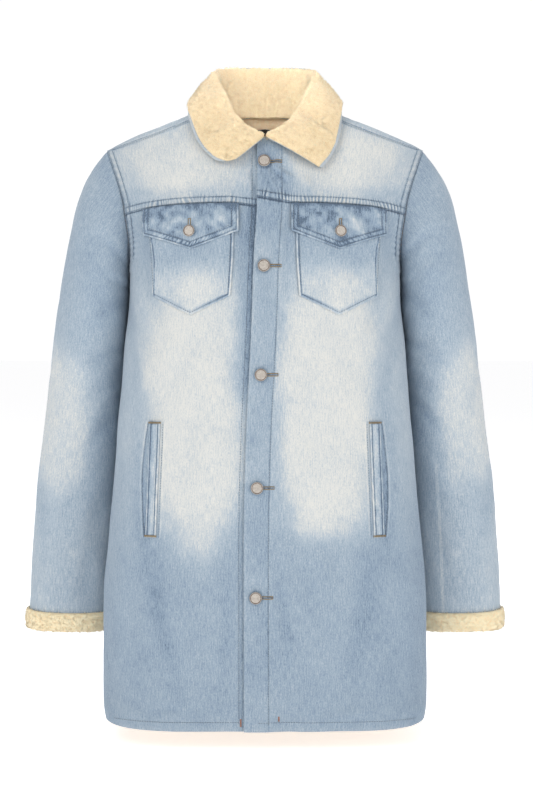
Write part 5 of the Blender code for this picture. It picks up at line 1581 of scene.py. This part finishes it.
def sewWelt(group, sign, over):
    shape, welt, front = weltShape, onPatch(sign, rest, weltLift), onFront(over)
    z = np.linspace(shape["bottom"] + 0.003, shape["top"] - 0.003, 90)
    middle = weltMiddle(z)
    bow = np.sin(np.linspace(0, math.pi, 90)) * shape["bow"]
    sew(group, welt, sign * (middle - 0.0045), z)
    sew(group, front, sign * (middle - shape["innerRow"]), z)
    sew(group, front, sign * (middle + shape["outerRow"] + bow), z)
    for end, x, inward in ((shape["top"], shape["xTop"], -0.002), (shape["bottom"], shape["xBottom"], 0.002)):
        for row in range(5):
            across = np.linspace(x - 0.0085, x + 0.0085, 12)
            sewBar("bartacksTan", welt, sign * across, np.full(12, end + inward + (row - 2) * 0.0005))


for sideName, sign in sides:
    sewFront("stitching" + sideName, sign, sign > 0)
z = np.linspace(-0.826, -0.064, 420)
sew("stitchingLeft", onFront(True), edgeX(z) + rowsAt["placket"], z)
sew("stitchingRight", onFront(False), edgeX(z) - rowsAt["underEdge"], z)
for sideName, sign in sides:
    sewPouch("stitching" + sideName, sign)
    sewFlap("stitching" + sideName, sign)
    sewWelt("stitching" + sideName, sign, sign > 0)
for step in np.linspace(0, 1, 5):
    z = np.linspace(-0.8290, -0.8185, 10)
    sewBar("bartacksRust", onFront(False), edgeX(z) - 0.0048 + step * 0.0016, z)
    z = np.linspace(-0.8215, -0.8150, 8)
    sewBar("bartacksRust", onFront(True), edgeX(z) + 0.0465 + step * 0.0014, z)


# close purl stitches round a slit, and a bar at each end of it
def buttonhole(place, x, z, longX, longZ, half):
    for side in (-1, 1):
        count = int(math.hypot(longX, longZ) / 0.0007)
        for k in range(count + 1):
            share = k / count - 0.5
            cx, cz = x + longX * share, z + longZ * share
            ax, az = (0, half) if longX else (half, 0)
            ends = line(3, (cx + side * ax * 0.25, cz + side * az * 0.25), (cx + side * ax, cz + side * az))
            sew("buttonholes", place, *ends, 0.01, 0.95, 0.00034, 0.0007)
    for end in (-0.5, 0.5):
        for k in range(-1, 2):
            cx, cz = x + longX * end, z + longZ * end
            off = k * half * 0.5
            ends = line(3, (cx - 0.0006 + (off if longZ else 0), cz + (off if longX else -0.0006)),
                        (cx + 0.0008 + (off if longZ else 0), cz + (off if longX else 0.0008)))
            sew("buttonholes", place, *ends, 0.01, 0.95, 0.00034, 0.0008)


for x, z in buttonPlaces:
    buttonhole(onFront(True), x + buttons["holeAway"], z, buttons["holeLong"], 0, buttons["holeHalf"])
for sign in (1, -1):
    place, x = onPatch(sign, flapRest, flapLift), sign * buttons["flapX"]
    buttonhole(place, x, buttons["flapHoleZ"], 0, buttons["flapHoleLong"], buttons["flapHoleHalf"])

# the back's own rows: yoke, armholes and hem
x = np.linspace(-0.190, 0.190, 320)
for row in rowsAt["yoke"]:
    sew("stitchingBack", onBack, x, backYokeLine(x) + row, 0.0033)
for sign in (1, -1):
    z = np.linspace(-0.202, -0.070, 80)
    for row in rowsAt["armhole"]:
        sew("stitchingBack", onBack, sign * (armholeX(z) - row), z)
x = np.linspace(-0.205, 0.205, 320)
sew("stitchingBack", onBack, x, np.full(320, jacket["hemZ"] + rowsAt["hem"]))

threads = {"stitchingLeft": blueThread, "stitchingRight": blueThread, "stitchingBack": blueThread,
           "bartacksTan": tanThread, "bartacksRust": rustThread, "buttonholes": tanThread}
for group, finish in threads.items():
    finishSewing(group, finish)
print("sewing made")

# each ring's share of the radius and its height: a stem, a rolled rim and a slightly domed face
buttonRings = np.array([
    (0.34, 0.0), (0.32, 0.0011), (0.84, 0.0012), (0.95, 0.0014), (0.99, 0.0020), (1.0, 0.0026),
    (0.98, 0.0031),
    (0.93, 0.00345), (0.87, 0.0035), (0.83, 0.0032), (0.80, 0.0029), (0.72, 0.0029), (0.50, 0.0030),
    (0.25, 0.0030), (0.06, 0.0030)])


def makeButton(name, node, x, z, radius, height):
    turn, climb = findSeen(x, z)
    out = Vector(formNormals(turn, climb, -1))
    middle = bodyForm(turn, climb, -1) + np.array(out) * height
    turned = np.array(out.to_track_quat("Z", "Y").to_matrix())
    count, share, up = buttons["around"], buttonRings[:, :1], buttonRings[:, 1:]
    around = np.linspace(0, 2 * math.pi, count, endpoint=False)
    dent = 0.00012 * softNoise(np.cos(around) * 3 + 3, np.sin(around) * 3 + 2, 90)
    rise = up + dent * (up > 0.002)
    rings = np.stack([share * radius * np.cos(around), share * radius * np.sin(around), rise], -1)
    centres = [[0, 0, 0], [0, 0, buttonRings[-1, 1]]]
    points = np.concatenate([rings.reshape(-1, 3), centres]) @ turned.T + middle
    grid = np.arange(len(buttonRings) * count).reshape(-1, count)
    right, top = np.roll(grid, -1, 1), len(points) - 1
    quads = np.stack([grid[:-1], right[:-1], right[1:], grid[1:]], -1).reshape(-1, 4)
    foot = [[grid[0, k], top - 1, right[0, k]] for k in range(count)]
    face = [[grid[-1, k], right[-1, k], top] for k in range(count)]
    rim = np.concatenate([np.repeat(bell((share[:, 0] - 0.84) / 0.05), count), [0, 0]])
    register(newMesh(name, points, [quads, foot + face], [metal], None, {"rim": rim}), "button_metal", node)


for number, (x, z) in enumerate(buttonPlaces, 1):
    height = float(frontOut(x, z, True)) + buttons["above"]
    makeButton("buttonFront%d" % number, "button_front_%d" % number, x, z, buttons["radius"], height)
for sideName, sign in sides:
    x, z = sign * buttons["flapX"], buttons["flapZ"]
    height = float(frontOut(x, z, sign > 0)) + flapRest + float(flapLift(np.array(x), np.array(z), sign))
    node = "button_flap_" + sideName.lower()
    makeButton("buttonFlap" + sideName, node, x, z, buttons["flapRadius"], height)
print("buttons made")

stage = {"floorZ": -0.862, "half": 30, "glow": 0.63}


def stageFinish():
    finish, tree, surface = newFinish("pale paper")
    place = wire(tree, "TexCoord", {}, {}, 3)
    mottle = grain(tree, place, (6, 6, 6), 2.0, 0.5)
    colour = ramp(tree, mottle, [(0.3, (0.90, 0.90, 0.90)), (0.7, (0.915, 0.915, 0.915))])
    tree.links.new(colour, surface.inputs["Base Color"])
    surface.inputs["Roughness"].default_value = 0.95
    surface.inputs["Specular IOR Level"].default_value = 0.0
    surface.inputs["Emission Color"].default_value = (0.99, 0.99, 1.0, 1)
    surface.inputs["Emission Strength"].default_value = stage["glow"]
    return finish


square = np.array([(-1, -1), (1, -1), (1, 1), (-1, 1)]) * stage["half"]
corners = [(x, y, stage["floorZ"]) for x, y in square]
floor = newMesh("floor", corners, [[[0, 1, 2, 3]]], [stageFinish()])

world = bpy.data.worlds.new("studio")
bpy.context.scene.world = world
world.use_nodes = True
sky = world.node_tree.nodes["Background"]
sky.inputs["Color"].default_value = (1.0, 1.0, 1.0, 1)
around = wire(world.node_tree, "TexCoord", {}, {})
height = wire(world.node_tree, "SeparateXYZ", {}, {"Vector": around}, 2)
fall = {"From Min": 0.21, "From Max": 0.45, "To Min": 1.02, "To Max": 0.31}  # white low, softer overhead
glow = wire(world.node_tree, "MapRange", {}, {"Value": height, **fall})
world.node_tree.links.new(glow, sky.inputs["Strength"])


def areaLight(name, place, target, size, power, spread=180):
    light = bpy.data.lights.new(name, "AREA")
    light.shape, light.size, light.size_y = "RECTANGLE", size[0], size[1]
    light.energy, light.spread = power, math.radians(spread)
    made = bpy.data.objects.new(name, light)
    made.location = place
    made.rotation_euler = (Vector(target) - Vector(place)).to_track_quat("-Z", "Y").to_euler()
    bpy.context.scene.collection.objects.link(made)


areaLight("keyLight", (-1.3, -2.2, 1.5), (0, 0, -0.35), (1.4, 1.4), 25)
areaLight("fillLight", (1.7, -2.0, 0.6), (0, 0, -0.4), (1.6, 1.8), 13)
areaLight("neckLight", (0, -2.2, 0.75), (0, 0.05, 0.06), (0.15, 0.15), 0.09, 8)
areaLight("floorLight", (0, 0.9, 2.4), (0, 0.9, -0.9), (4.0, 3.0), 60)

camera = bpy.data.objects.new("camera", bpy.data.cameras.new("camera"))
camera.data.lens = 110.97
camera.data.sensor_fit = "HORIZONTAL"
camera.data.sensor_width = 36.0
camera.data.clip_end = 60
camera.location = (0.0021, -2.3, -0.300)
camera.rotation_euler = (math.pi / 2 - math.atan2(0.0950, 2.3), 0, 0)
bpy.context.scene.collection.objects.link(camera)
bpy.context.scene.camera = camera
bpy.context.scene.view_settings.view_transform = "Standard"

print("triangles:", totals, "all:", sum(totals.values()))
